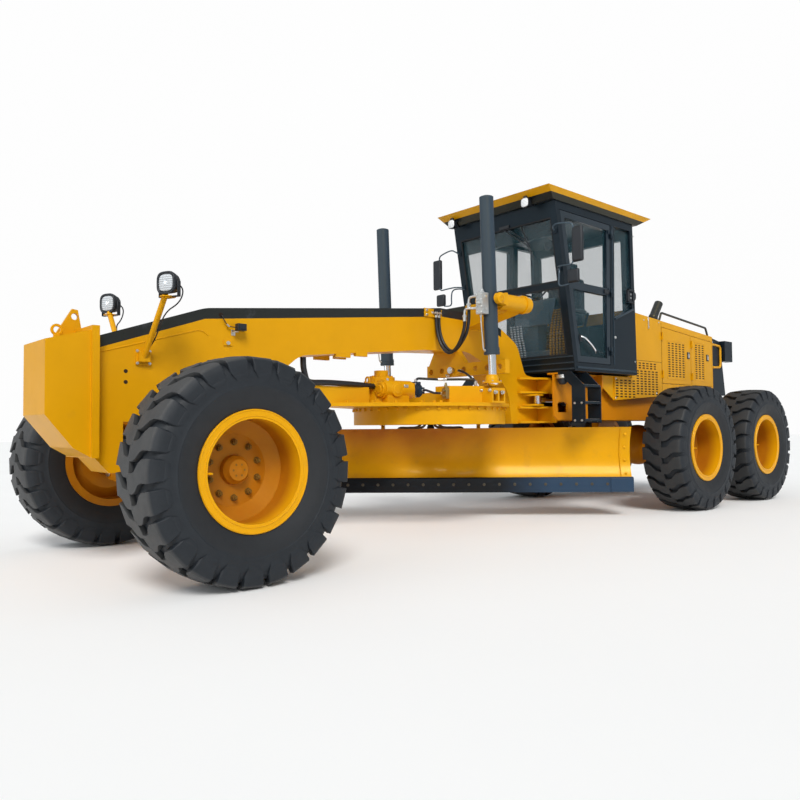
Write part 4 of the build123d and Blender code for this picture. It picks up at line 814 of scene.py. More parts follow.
# ================ lift cylinders, their hoses and valve blocks
HOSE_X, HOSE_CLIP_Y, LIFT_HOSE_R = 0.88, 0.186, 0.0145
# of each lift hose: shift along x from the first, y and z of its upper end
HOSE_TOPS = ((0.0, 0.56, 1.985), (0.034, 0.54, 1.88))

for number, (shift, rise_y, rise_z) in enumerate(HOSE_TOPS, 1):
    x, low = HOSE_X + shift, shift / 2
    crossing_hose(f"lift_hose_{number}", [
        (x, HOSE_CLIP_Y, 1.924), (x, HOSE_CLIP_Y, 1.78), (x - 0.012, 0.246, 1.64 - low),
        (x - 0.016, 0.34, 1.572 - low), (x - 0.012, 0.45, 1.64 - low), (x - 0.004, rise_y, 1.78),
        (x, rise_y, rise_z - 0.03)], LIFT_HOSE_R, "front_body")


@single(zinc, "lift_yoke_left", bevel=0.0008, segments=1)
def lift_hose_sleeves(mesh):
    for shift, y, z in HOSE_TOPS:
        fitting(mesh, (HOSE_X + shift, y, z - 0.05), (HOSE_X + shift, y, z + 0.012), LIFT_HOSE_R)


for number, (shift, y, z) in enumerate(HOSE_TOPS, 1):
    x = HOSE_X + shift
    tube(f"lift_hose_elbow_{number}", [
        (x, y, z), (x, y, z + 0.035), (x, y + 0.012, z + 0.055), (x - 0.006, y + 0.05, z + 0.06),
        (0.872, 0.64, z + 0.056), (0.872, 0.664, z + 0.056)], 0.0115, zinc, "lift_barrel_left")


@single(zinc, "front_body", bevel=0.0008, segments=1)
def hose_clip(mesh):
    for shift, _, _ in HOSE_TOPS:
        x = HOSE_X + shift
        fitting(mesh, (x, HOSE_CLIP_Y, 1.905), (x, HOSE_CLIP_Y, 1.965), LIFT_HOSE_R)
    box(mesh, (0.86, 0.936), (0.1725, 0.206), (1.938, 1.952))
    for x in (0.848, 0.948):
        bolt(mesh, (x, SADDLE_FACE, 1.95), Y, 0.016, 0.008)
    for z in (1.925, 1.967):
        bolt(mesh, (1.02, SADDLE_FACE, z), Y, 0.018, 0.009)


@sided(zinc, "lift_barrel_{side}", bevel=0.0008, segments=1)
def valve_block_screws(mesh, sign):
    y = sign * YOKE_Y
    for dy, z in product((-0.026, 0.026), (1.895, 1.94, 2.005, 2.05)):
        bolt(mesh, (0.9, y + dy, z), X, 0.013, 0.009, False)
    rod(mesh, (0.9, y, 1.972), (0.916, y, 1.972), 0.016, sides=6)
    rod(mesh, (0.916, y, 1.972), (0.934, y, 1.972), 0.009, sides=16)
    rod(mesh, (0.858, y, 2.065), (0.858, y, 2.082), 0.018, sides=6)
    rod(mesh, (0.858, y, 2.082), (0.858, y, 2.098), 0.011, sides=16)
    for z in (1.925, 2.03):
        rod(mesh, (0.866, y + 0.038 * sign, z), (0.866, y + 0.05 * sign, z), 0.013, sides=6)
    fitting(mesh, (0.862, y - 0.016, 1.856), (0.862, y - 0.016, 1.881), 0.008)
    fitting(mesh, (0.822, y - 0.014, 1.568), (0.8, y - 0.014, 1.568), 0.009)


for side, sign in SIDES:
    y = sign * YOKE_Y - 0.016
    tube(f"return_pipe_{side}", [
        (0.862, y, 1.86), (0.862, y, 1.8), (0.852, y, 1.72), (0.84, y, 1.62), (0.836, y + 0.002, 1.572),
        (0.815, y + 0.002, 1.568)], 0.0065, zinc, f"lift_barrel_{side}")


@sided(barrel_blue, "lift_barrel_{side}", bevel=0.001)
def lift_barrel_collars(mesh, sign):
    axis = Vector((0.025, 0, 0.717)).normalized()
    hold, = on_side(sign, YOKE)
    for down in (0.47, 0.44):
        ring(mesh, hold - axis * down, axis, 0.064, 0.0705, 0.004)
    cap(mesh, hold + axis * 0.9, axis, (0.02, 0.006), (0.022, 0.01), (0.04, 0.01), (0.046, 0.005),
        (0.056, 0.004), (0.061, 0.0))


@sided(yellow, "lift_rod_{side}", bevel=0.001)
def lift_eye_cap(mesh, sign):
    turned_shape(mesh, ((0.037, 0.062), (0.046, 0.06), (0.058, 0.04), (0.063, 0.01), (0.064, 0.002),
                        (0.084, 0.0), (0.084, -0.016), (0.056, -0.016), (0.056, 0.004), (0.05, 0.03),
                        (0.037, 0.045)), *on_side(sign, LIFT_EYE), Z)


@sided(zinc, "lift_rod_{side}")
def lift_eye_bolts(mesh, sign):
    bolt_ring(mesh, *on_side(sign, LIFT_EYE), Z, 0.074, 4, 0.015, 0.009, radians(45), False)


@sided(yellow, "lift_yoke_{side}", bevel=0.001)
def yoke_pin_caps(mesh, sign):
    for reach, way in ((-0.1165, -Y), (0.1165, Y)):
        at = Vector((YOKE[0], sign * YOKE_Y + reach, YOKE[2]))
        cap(mesh, at, way, (0.03, 0.022), (0.036, 0.016), (0.047, 0.014), (0.049, 0.0))
        bolt_ring(mesh, at + way * 0.02, way, 0.018, 3, 0.013, 0.008, radians(30), False)


@sided(zinc, "front_body")
def saddle_bolts(mesh, sign):
    bolt_ring(mesh, (0.3, sign * YOKE_Y, YOKE[2]), -X, 0.066, 8, 0.016, 0.01)
    for z in (1.985, 2.05):
        bolt(mesh, (0.5, sign * 0.56, z), X, 0.022, 0.012)


# ================ beam, nose and front axle
# dark discs of painted shade where the nose and the beam have holes
@single(dark_gap, "front_body")
def nose_holes(mesh):
    for sign, z in product(SIGNS, (1.2915, 1.22)):
        rod(mesh, *on_side(sign, (3.749, 0.1595, z), (3.749, 0.1606, z)), 0.0135)
    rod(mesh, (3.063, 0.1595, 1.727), (3.063, 0.1612, 1.727), 0.017)


@single(yellow, "front_body", bevel=0.0015)
def beam_ribs(mesh):
    for sign in SIGNS:
        route = on_side(sign, (3.936, BEAM_FACE, 1.402), (3.245, BEAM_FACE, 1.602), (3.205, BEAM_FACE, 1.6),
                        (3.162, BEAM_FACE, 1.57))
        for start, end in zip(route, route[1:]):
            rod(mesh, start, end, 0.0045, sides=10)
        box(mesh, (2.975, 3.043), (0.16, 0.168), (1.508, 1.545), sign)
        for x0, x1, z in ((1.886, 2.035, 1.506), (1.707, 1.83, 1.524)):
            box(mesh, (x0, x1), (0.13, 0.163), (z - 0.022, z + 0.018), sign)


@single(zinc, "front_body")
def beam_boss_bolts(mesh):
    for sign in SIGNS:
        bolt(mesh, (3.01, sign * 0.168, 1.527), Y * sign, 0.02, 0.01)


@single(yellow, "front_body", bevel=0.003)
def towing_eye(mesh):
    ring(mesh, (4.125, -0.02, 1.552), Y, 0.021, 0.038, 0.008)
    box(mesh, (4.105, 4.145), (-0.03, -0.01), (1.488, 1.52))


tube("side_lamp_lead", [(3.063, 0.156, 1.727), (3.063, 0.175, 1.727), (3.05, 0.18, 1.69), (3.02, 0.182, 1.65),
                        (2.985, 0.19, 1.642), (2.96, 0.2, 1.64)], 0.0035, body="front_body")


@single(black_plastic, "front_body", bevel=0.008, segments=3)
def side_lamp(mesh):
    box(mesh, (2.895, 2.965), (0.186, 0.236), (1.617, 1.668))
    box(mesh, (2.905, 2.955), (0.236, 0.243), (1.627, 1.658))


@single(zinc, "front_body", bevel=0.001)
def side_lamp_bracket(mesh):
    box(mesh, (2.95, 2.982), (BEAM_FACE, 0.1645), (1.585, 1.625))
    box(mesh, (2.95, 2.982), (BEAM_FACE, 0.215), (1.606, 1.6105))
    bolt(mesh, (2.966, 0.1645, 1.595), Y, 0.012, 0.007)
    rod(mesh, (3.028, 0.181, 1.66), (3.008, 0.183, 1.643), 0.0075)


@single(zinc, "front_body", bevel=0.001)
def link_bar_pin(mesh):
    rod(mesh, (0.5, 0.095, 1.44), (0.66, 0.095, 1.44), 0.022)
    rod(mesh, (0.64, 0.095, 1.44), (0.655, 0.095, 1.44), 0.032)
    rod(mesh, (0.62, 0.23, 1.428), (0.65, 0.23, 1.428), 0.016, sides=6)
    rod(mesh, (0.616, 0.23, 1.428), (0.668, 0.23, 1.428), 0.011)
    rod(mesh, (0.616, 0.02, 1.4), (0.64, 0.062, 1.388), 0.014)


@single(zinc, "front_body")
def front_axle_bolts(mesh):
    for sign in SIGNS:
        bolt(mesh, (3.531, sign * LEAN_Y, LEAN_Z), X, 0.04, 0.014)
    bolt_ring(mesh, (3.53, 0, 0.725), X, 0.056, 6, 0.016, 0.01)


@sided(yellow, "lean_bracket_{side}", bevel=0.001)
def kingpin_caps(mesh, sign):
    y = sign * KINGPIN_Y
    for z, way, up in ((0.796, Z, 1), (0.534, -Z, -1)):
        cap(mesh, (FRONT_AXLE_X, y, z), way, (0.03, 0.01), (0.042, 0.006), (0.046, 0.0), steps=32)
        bolt_ring(mesh, (FRONT_AXLE_X, y, z + 0.006 * up), way, 0.034, 4, 0.012, 0.008, radians(45), False)


# ================ drawbar and circle drive
DRIVE_X, CASE_FOOT = 1.42, 1.1148


@single(yellow, "drawbar", bevel=0.001, segments=1)
def circle_drive_bolts(mesh):
    at = Vector((DRIVE_X, 0, 0))
    bolt_ring(mesh, at + Z * (CASE_FOOT + 0.04), Z, 0.159, 16, 0.014, 0.01, radians(8), False)
    bolt_ring(mesh, at + Z * (CASE_FOOT + 0.182), Z, 0.143, 12, 0.022, 0.013)
    bolt_ring(mesh, at + Z * (CASE_FOOT + 0.232), Z, 0.092, 8, 0.02, 0.012)


@single(yellow, "drawbar", bevel=0.001)
def worm_case_covers(mesh):
    at = (1.554, WORM_Y, WORM_Z)
    cap(mesh, at, X, (0.03, 0.012), (0.036, 0.006), (0.06, 0.005), (0.064, 0.0))
    bolt_ring(mesh, at, X, 0.052, 6, 0.014, 0.011, radians(20), False)
    cap(mesh, Vector((DRIVE_X, 0.217, WORM_Z)) - Y * 0.002, Y, (0.04, 0.01), (0.046, 0.005), (0.062, 0.004),
        (0.066, 0.0))


@single(zinc, "drawbar", bevel=0.0008, segments=1)
def circle_drive_metals(mesh):
    box(mesh, (1.295, 1.345), (0.2165, 0.2185), (1.252, 1.278))
    bolt_ring(mesh, (1.196, WORM_Y, WORM_Z), -X, 0.078, 4, 0.018, 0.012, radians(45), False)
    bolt(mesh, (1.54, 0.03, 1.15), X, 0.022, 0.012)
    bolt(mesh, (1.545, -0.03, 1.15), X, 0.022, 0.012)
    rod(mesh, (1.48, 0.155, 1.308), (1.48, 0.155, 1.33), 0.012, sides=6)


@single(motor_paint, "drawbar", bevel=0.002)
def circle_motor_ribs(mesh):
    for x in (1.105, 1.128, 1.151, 1.174):
        ring(mesh, (x, WORM_Y, WORM_Z), X, 0.05, 0.0615, 0.006)
    box(mesh, (1.1, 1.165), (0.1, 0.17), (1.285, 1.312))
    box(mesh, (1.085, 1.15), (0.18, 0.203), (1.205, 1.262))
    cap(mesh, (1.095, WORM_Y, WORM_Z), -X, (0.03, 0.01), (0.046, 0.0))
    bolt_ring(mesh, (1.095, WORM_Y, WORM_Z), -X, 0.044, 6, 0.012, 0.01, 0, False)


@single(zinc, "drawbar", bevel=0.0008, segments=1)
def pressure_hose_sleeves(mesh):
    fitting(mesh, (1.13, WORM_Y, 1.335), (1.13, WORM_Y, 1.29), 0.0115)
    fitting(mesh, (0.76, 0.52, 1.315), (0.76, 0.52, 1.262), 0.0115)
    fitting(mesh, (1.11, 0.215, WORM_Z), (1.11, 0.188, WORM_Z), 0.0105)
    fitting(mesh, (1.112, 0.43, 1.2), (1.078, 0.43, 1.2), 0.0105)
    fitting(mesh, (1.01, 0.295, 1.331), (0.955, 0.35, 1.331), 0.012)


@single(brass, "drawbar", bevel=0.002)
def relief_valve(mesh):
    box(mesh, (1.0755, 1.115), (0.455, 0.5), (1.15, 1.245))
    rod(mesh, (1.095, 0.478, 1.245), (1.095, 0.478, 1.272), 0.015, sides=6)
    rod(mesh, (1.095, 0.478, 1.272), (1.095, 0.478, 1.29), 0.01)
    for z in (1.222, 1.175):
        rod(mesh, (1.115, 0.478, z), (1.138, 0.478, z), 0.014, sides=6)
    rod(mesh, (1.095, 0.44, 1.2), (1.095, 0.456, 1.2), 0.014, sides=6)


@sided(zinc, "drawbar", bevel=0.001, segments=1)
def lift_ear_bolts(mesh, sign):
    for x in (0.69, 0.78):
        bolt(mesh, (x, sign * 0.765, 1.205), Y * sign, 0.026, 0.016)
    for y in (0.64, 0.74):
        bolt(mesh, (0.82, sign * y, 1.222), X, 0.024, 0.014)


@single(yellow, "drawbar", bevel=0.001, segments=1)
def deck_bolts(mesh):
    spots = ((1.9, 0.135), (1.72, 0.24), (1.55, 0.34), (1.36, 0.45), (1.22, 0.54))
    for sign, (x, y) in product(SIGNS, spots):
        bolt(mesh, (x, sign * y, DECK_TOP), Z, 0.028, 0.016)
    for angle, turn in product((45, 135, 225, 315), (-5, 5)):
        a = radians(angle + turn)
        bolt(mesh, (CIRCLE_X + 0.595 * cos(a), 0.595 * sin(a), DECK_TOP), Z, 0.03, 0.018)


crossing_hose("circle_feed_hose", [
    (2.315, 0.1, 1.469), (2.315, 0.1, 1.4), (2.3, 0.1, 1.34), (2.285, 0.102, 1.285), (2.24, 0.103, 1.27),
    (2.15, 0.103, 1.274), (2.05, 0.103, 1.276), (1.85, 0.1, 1.272), (1.7, 0.085, 1.268), (1.54, 0.06, 1.262)],
    0.024, "drawbar_ball")
tube("crossbeam_hose", [(0.672, 0.228, 1.428), (0.7, 0.25, 1.432), (0.705, 0.36, 1.395), (0.69, 0.43, 1.33),
                        (0.7, 0.455, 1.29), (0.7, 0.46, 1.262)], 0.0105, body="drawbar")


# ================ circle and blade
# along the blade and away from it, at the turn at which it is parked
ALONG, OUT = Vector((-sin(BLADE_TURN), cos(BLADE_TURN), 0)), Vector((cos(BLADE_TURN), sin(BLADE_TURN), 0))
BLADE_ENDS = (2.003, -1.947)
FOOT_Z, BLADE_HEIGHT = 0.33, 0.563


def turned(x, y, z):
    """A place of the straight blade, turned with the circle."""
    c, s = cos(BLADE_TURN), sin(BLADE_TURN)
    return Vector((CIRCLE_X + x * c - y * s, x * s + y * c, z))


def blade_face(z):
    """x of the curved front of the straight blade at a height."""
    bow = 1 - (2 * (z - FOOT_Z) / BLADE_HEIGHT - 1) ** 2
    return -0.548 + (-0.575 + 0.548) * (z - FOOT_Z) / BLADE_HEIGHT - 0.0915 * bow


@single(yellow, "circle", bevel=0.0015, segments=1)
def circle_wall_bolts(mesh):
    for step in range(48):
        a = tau * step / 48
        way = Vector((cos(a), sin(a), 0))
        bolt(mesh, Vector((CIRCLE_X, 0, 1.064)) + way * 0.7025, way, 0.024, 0.014, False)


@single(yellow, "circle", bevel=0.001)
def blade_arm_caps(mesh):
    for sign in SIGNS:
        turned_shape(mesh, ((0.0335, 0.014), (0.05, 0.014), (0.056, 0.0), (0.0335, 0.0)),
                     turned(-0.76, sign * 0.51, 0.43), ALONG * sign)


@single(yellow, "blade")
def blade_end_seams(mesh):
    for end, inward in zip(BLADE_ENDS, (-1, 1)):
        heights = [0.345 + (0.88 - 0.345) * (step / 6) for step in range(7)]
        route = [turned(blade_face(z) + 0.002, end + inward * 0.105, z) for z in heights]
        for start, stop in zip(route, route[1:]):
            rod(mesh, start, stop, 0.0035, sides=8)


@single(yellow, "blade")
def blade_end_bolts(mesh):
    for y, z in product((1.948, -1.892), (0.43, 0.56, 0.69, 0.82)):
        cap(mesh, turned(blade_face(z) - 0.001, y, z), OUT, (0.008, 0.004), (0.014, 0.0), steps=16)


@single(dark_bolt, "blade")
def edge_bolts(mesh):
    for step in range(26):
        y = -1.9 + 0.152 * step
        turned_shape(mesh, ((0.0, 0.003), (0.008, 0.0045), (0.014, 0.003), (0.016, 0.0), (0.0, 0.0)),
                     turned(-0.53, y, FOOT_Z), OUT, 16)
        bolt(mesh, turned(-0.568, y, 0.362), -OUT, 0.026, 0.018)


@single(edge, "blade", bevel=0.003)
def blade_end_bits(mesh):
    for low, high in ((1.78, BLADE_ENDS[0]), (BLADE_ENDS[1], -1.724)):
        corners = ((low, 0.252), (high, 0.252), (high, 0.388), (low, 0.388))
        plate(mesh, [turned(-0.5295, y, z) for y, z in corners], OUT * 0.01)


@single(dark_bolt, "blade", "yellow_paint")
def rail_bolts(mesh):
    for y, z in product((-1.2, 1.25), (0.43, 0.79)):
        bolt(mesh, turned(-0.695, y + 0.028, z), -OUT, 0.03, 0.016)


for number, (y, foot) in enumerate(((-0.1, -0.33), (-0.05, -0.24), (0.05, 0.24), (0.1, 0.33)), 1):
    tube(f"blade_hose_{number}", [
        turned(0.02, y * 0.4, 1.045), turned(-0.02, y * 0.6, 0.985), turned(-0.25, y, 0.905),
        turned(-0.48, (y + foot) / 2, 0.9), turned(-0.66, foot, 0.905), turned(-0.72, foot, 0.86),
        turned(-0.738, foot * 0.9, 0.775)], 0.012, body="circle")


@single(zinc, "circle", bevel=0.003)
def hose_swivel(mesh):
    for z0, z1, radius in ((0.985, 1.11, 0.062), (0.96, 0.99, 0.045)):
        rod(mesh, (CIRCLE_X, 0, z0), (CIRCLE_X, 0, z1), radius)


# ================ cab: lamps, trim and wipers
def cab_front(z, step=0.0):
    """x of the cab's slanted front face at a height."""
    return -0.525 + 0.29 * (z - 1.455) / 1.652 + step


ROOF_LAMPS = [(-0.105, y, 3.108) for y in (-0.575, 0.43)]
BELLY_LAMP = (-0.47, 0.566, 1.38)


@single(black_plastic, bevel=0.002)
def cab_lamp_cases(mesh):
    for x, y, z in ROOF_LAMPS:
        rounded_case(mesh, (x, y, z), ((-0.034, 0.036), (-0.024, 0.046), (0.02, 0.049), (0.024, 0.046),
                                       (0.022, 0.043)))
        box(mesh, (-0.215, -0.13), (y - 0.012, y + 0.012), (3.096, 3.118))
        box(mesh, (-0.122, -0.088), (y - 0.02, y + 0.02), (3.15, 3.176))
    rounded_case(mesh, (-1.715, 0.56, 2.35), ((-0.11, 0.02), (-0.1, 0.048), (-0.04, 0.062), (0.0, 0.05)))
    box(mesh, (-1.735, -1.69), (0.535, 0.585), (2.4, 2.425))


@single(clear_lens, bevel=0.001)
def cab_lamp_lenses(mesh):
    for at in ROOF_LAMPS:
        rounded_case(mesh, at, ((0.01, 0.042), (0.0255, 0.0425), (0.0285, 0.036)))


@single(zinc, bevel=0.001)
def belly_lamp_collar(mesh):
    cap(mesh, BELLY_LAMP, Z, (0.06, 0.0), (0.066, 0.006), (0.066, 0.014), (0.058, 0.018), (0.062, 0.024),
        (0.062, 0.034), (0.05, 0.042), steps=32)


@single(black_plastic)
def belly_lamp_dome(mesh):
    profile = ((0.0, -0.062), (0.02, -0.06), (0.038, -0.048), (0.05, -0.026), (0.052, 0.0), (0.0, 0.0))
    turned_shape(mesh, profile, BELLY_LAMP, Z, 32)


@single(seal)
def windscreen_seals(mesh):
    """The rubber around the windscreen's two panes."""
    for z0, z1 in ((1.62, 2.275), (2.34, 2.95)):
        for z in (z0, z1):
            x = cab_front(z)
            box(mesh, (x - 0.012, x + 0.003), (-0.604, 0.604), (z - 0.008, z + 0.008))
        for y in (0.6, -0.6):
            rod(mesh, (cab_front(z0, -0.004), y, z0), (cab_front(z1, -0.004), y, z1), 0.008, sides=8)


@single(trim_paint, bevel=0.001)
def cab_trim_lines(mesh):
    for z, lip in ((1.478, 0.008), (1.54, 0.006), (1.6, 0.006)):
        x = cab_front(z)
        box(mesh, (x - 0.004, x + 0.006), (-0.672, 0.672), (z - lip, z + lip))
    for sign in SIGNS:
        rod(mesh, *on_side(sign, (-1.255, 0.684, 2.035), (-1.615, 0.684, 2.172)), 0.012, sides=10)
        box(mesh, (-1.64, -0.56), (CAB_FACE, 0.69), (1.48, 1.5), sign)
        box(mesh, (-1.236, -1.226), (0.679, 0.686), (1.545, 3.02), sign)


@sided(black_plastic, bevel=0.003)
def side_window_latch(mesh, sign):
    for x, z in (((-1.63, -1.6), (2.235, 2.385)), ((-1.52, -1.49), (2.235, 2.385)),
                 ((-1.63, -1.49), (2.235, 2.255)), ((-1.63, -1.49), (2.365, 2.385))):
        box(mesh, x, (0.679, 0.7), z, sign)
    box(mesh, (-1.59, -1.535), (0.66, 0.69), (2.262, 2.355), sign)


@sided(zinc)
def cab_lock_pins(mesh, sign):
    cap(mesh, (-1.262, sign * CAB_FACE, 1.839), Y * sign, (0.012, 0.006), (0.016, 0.0), steps=20)
    for z in (1.6, 2.98):
        bolt(mesh, (-1.64, sign * CAB_FACE, z), Y * sign, 0.014, 0.006)
    for z in (2.29, 2.33):
        rod(mesh, *on_side(sign, (-1.56, 0.69, z), (-1.56, 0.696, z)), 0.01, sides=12)


@sided(black_plastic, "cab_door_{side}", bevel=0.003)
def door_latch(mesh, sign):
    box(mesh, (-0.64, -0.6), (0.678, 0.692), (1.752, 1.822), sign)
    box(mesh, (-1.14, -1.06), (0.678, 0.692), (2.285, 2.33), sign)


DOOR_TUBES = (
    ("door_handle", 0.0105, chrome, ((-0.625, 0.69, 1.8), (-0.64, 0.712, 1.795), (-0.7, 0.716, 1.762),
                                     (-0.78, 0.716, 1.712), (-0.85, 0.712, 1.66), (-0.862, 0.688, 1.65))),
    ("door_stay", 0.01, hose_rubber, ((-0.545, 0.64, 1.99), (-0.58, 0.642, 1.9), (-0.65, 0.642, 1.81),
                                       (-0.77, 0.642, 1.735), (-0.9, 0.642, 1.692), (-1.1, 0.642, 1.655))),
)
for (side, sign), (name, radius, finish, route) in product(SIDES, DOOR_TUBES):
    tube(f"{name}_{side}", on_side(sign, *route), radius, finish, f"cab_door_{side}")


def on_glass(y, z, lift=0.02):
    """A place in front of the windscreen."""
    return Vector((cab_front(z, -0.019 + lift), y, z))


@single(black_plastic)
def windscreen_wipers(mesh):
    for start, end, radius in (((0.0, 2.955), (0.3, 2.735), 0.006), ((0.05, 2.958), (0.31, 2.765), 0.005),
                               ((0.235, 2.945), (0.345, 2.59), 0.007), ((0.0, 2.25), (-0.28, 2.04), 0.006),
                               ((-0.205, 2.24), (-0.315, 1.89), 0.007)):
        rod(mesh, on_glass(*start), on_glass(*end), radius, sides=10)
    rod(mesh, on_glass(0.3, 2.735, 0.014), on_glass(0.3, 2.735, 0.032), 0.014)
    box(mesh, *zip(on_glass(-0.04, 2.955, -0.01), on_glass(0.09, 2.985, 0.03)))


@single(visor_tint, smooth=0)
def sun_visor(mesh):
    corners = ((-0.59, 2.8), (0.59, 2.8), (0.59, 2.95), (-0.59, 2.95))
    plate(mesh, [(cab_front(z, -0.04), y, z) for y, z in corners], Vector((-0.006, 0, 0)))


# ================ inside the cab
WHEEL_HUB, COLUMN = (-0.862, 0, 2.31), (-0.5, 0, 0.86)


@single(black_plastic, bevel=0.004)
def cab_controls(mesh):
    """The steering wheel on its column, levers on each side of it, a speaker, side boxes and pedals."""
    rounded_case(mesh, (-0.4, 0.4, 2.9), ((0.0, 0.06), (0.012, 0.07), (0.022, 0.066)))
    turned_shape(mesh, ((0.0, 0.02), (0.045, 0.018), (0.055, 0.008), (0.055, 0.0), (0.0, 0.0)),
                 (-0.45, 0.44, 2.735), X, 32)
    turned_shape(mesh, ((0.176, 0.0), (0.183, 0.012), (0.19, 0.016), (0.197, 0.012), (0.204, 0.0),
                        (0.197, -0.012), (0.19, -0.016), (0.183, -0.012)), WHEEL_HUB, COLUMN)
    for step in range(3):
        a = tau * step / 3 + 0.5
        reach = turn_to(COLUMN) @ Vector((0.188 * cos(a), 0.188 * sin(a), 0))
        rod(mesh, (-0.855, 0, 2.298), Vector(WHEEL_HUB) + reach, 0.01, sides=10)
    rod(mesh, (-0.848, 0, 2.285), (-0.866, 0, 2.316), 0.04)
    for sign, step in product(SIGNS, range(4)):
        y = sign * (0.075 + 0.028 * step)
        rod(mesh, (-0.8, y, 2.14), (-0.842, y * 1.15, 2.262), 0.005, sides=8)
        rod(mesh, (-0.842, y * 1.15, 2.262), (-0.85, y * 1.15, 2.288), 0.011, sides=12)
    for sign in SIGNS:
        box(mesh, (-1.5, -1.05), (0.4 - 0.09, 0.4 + 0.09), (1.52, 1.96), sign)
        box(mesh, (-0.74, -0.7), (0.22 - 0.04, 0.22 + 0.04), (1.56, 1.68), sign)


@single(console_grey, bevel=0.012, segments=3)
def dash_cowl(mesh):
    plate(mesh, [(-0.6, -0.145, 1.96), (-0.6, 0.3, 1.96), (-0.64, 0.3, 2.24), (-0.64, -0.145, 2.24)],
          Vector((-0.1, 0, 0.02)))
    box(mesh, (-0.7, -0.62), (-0.3, 0.3), (1.52, 1.7))


for number, y in enumerate(spaced(-0.15, -0.02, 4), 1):
    tube(f"pale_hose_{number}", [
        (-0.59, y - 0.03, 1.985), (-0.584, y - 0.02, 1.88), (-0.592, y + 0.01, 1.76),
        (-0.6, y + 0.02, 1.64), (-0.61, y + 0.02, 1.515)], 0.0125, pale_hose)
for number, y in enumerate(spaced(0.345, 0.505, 5), 1):
    tube(f"ochre_hose_{number}", [
        (-0.64, 0.36 + (y - 0.345) * 0.7, 2.11), (-0.606, y + 0.01, 2.02), (-0.6, y - 0.012, 1.86),
        (-0.606, y - 0.02, 1.7), (-0.615, y - 0.02, 1.515)], 0.0115, ochre_hose)


def pad(mesh, low, high, crown, cuts=3):
    """A stuffed block: crowned faces, and sides pulled in between the corners."""
    low, high = Vector(low), Vector(high)
    made = bmesh.ops.create_cube(mesh, size=2)["verts"]
    edges = list({e for v in made for e in v.link_edges})
    bmesh.ops.subdivide_edges(mesh, edges=edges, cuts=cuts, use_grid_fill=True)
    middle, half = (low + high) / 2, (high - low) / 2
    flat = min(range(3), key=lambda k: half[k])
    across = [k for k in range(3) if k != flat]
    for vert in mesh.verts:
        unit = vert.co.copy()
        fall = [1 - unit[k] ** 2 for k in across]
        pull = 1 - 0.05 * (fall[0] + fall[1]) * (1 - abs(unit[flat]) * 0.3)
        place = Vector(unit)
        for k in across:
            place[k] *= pull * half[k]
        place[flat] = unit[flat] * (half[flat] * 0.72 + crown * (fall[0] * fall[1]))
        vert.co = middle + place


SEAT_PADS = (
    ("seat_cushion", (-1.33, -0.245, 1.9), (-0.875, 0.245, 2.01), 0.02),
    ("seat_back", (-1.405, -0.235, 2.02), (-1.3, 0.235, 2.56), 0.022),
    ("seat_headrest", (-1.42, -0.13, 2.58), (-1.34, 0.13, 2.74), 0.014),
    ("seat_arm_left", (-1.29, 0.262, 2.13), (-1.0, 0.32, 2.18), 0.008),
    ("seat_arm_right", (-1.29, -0.32, 2.13), (-1.0, -0.262, 2.18), 0.008),
)
for name, low, high, crown in SEAT_PADS:
    mesh = bmesh.new()
    pad(mesh, low, high, crown)
    made = piece(name, mesh, seat_cloth, subdivide=2, smooth=180)
    if name == "seat_cushion":
        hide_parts("operator_seat")


@single(black_plastic, bevel=0.008)
def seat_suspension(mesh):
    for step in range(6):
        z, inset = 1.56 + step * 0.05, 0.006 * (step % 2)
        box(mesh, (-1.26, -0.98), (-0.17 + inset, 0.17 - inset), (z, z + 0.046))
    box(mesh, (-1.29, -0.95), (-0.19, 0.19), (1.516, 1.56))
    box(mesh, (-1.3, -0.94), (-0.2, 0.2), (1.862, 1.905))
    for sign in SIGNS:
        rod(mesh, *on_side(sign, (-1.37, 0.08, 2.54), (-1.378, 0.08, 2.6)), 0.008)
        rod(mesh, *on_side(sign, (-1.33, 0.24, 1.96), (-1.345, 0.292, 2.16)), 0.014)


# ================ mirrors
# of the heads on each side: middle, half width, half height
MIRRORS = ((-0.228, 0.937, 2.625, 0.06, 0.168), (-0.228, 0.886, 2.33, 0.062, 0.066))
MIRROR_BARS = (
    ((cab_front(2.86, 0.006), 0.64, 2.822), (-0.225, 0.65, 2.835), (-0.212, 0.69, 2.862),
     (-0.212, 0.76, 2.858), (-0.212, 0.86, 2.838), (-0.214, 0.893, 2.82), (-0.216, 0.897, 2.76),
     (-0.216, 0.895, 2.6), (-0.216, 0.893, 2.47), (-0.216, 0.878, 2.438), (-0.22, 0.8, 2.444),
     (-0.24, 0.7, 2.452), (-0.3, 0.66, 2.455), (cab_front(2.455, 0.004), 0.65, 2.455)),
    ((cab_front(2.44, 0.004), 0.63, 2.43), (-0.3, 0.65, 2.44), (-0.235, 0.72, 2.43), (-0.222, 0.722, 2.33),
     (-0.222, 0.716, 2.275), (-0.224, 0.735, 2.252), (-0.228, 0.79, 2.252), (-0.23, 0.84, 2.262)),
)


@sided(black_plastic, bevel=0.019, segments=4)
def mirror_heads(mesh, sign):
    for x, y, z, wide, tall in MIRRORS:
        box(mesh, (x - 0.022, x + 0.022), (y - wide, y + wide), (z - tall, z + tall), sign)


@sided(mirror_glass, bevel=0.003)
def mirror_faces(mesh, sign):
    for x, y, z, wide, tall in MIRRORS:
        box(mesh, (x - 0.0235, x - 0.02), (y - wide + 0.01, y + wide - 0.01),
            (z - tall + 0.012, z + tall - 0.012), sign)


@sided(black, bevel=0.003)
def mirror_feet(mesh, sign):
    for z in (2.822, 2.455):
        box(mesh, (cab_front(z), cab_front(z, 0.012)), (0.622, 0.662), (z - 0.028, z + 0.028), sign)


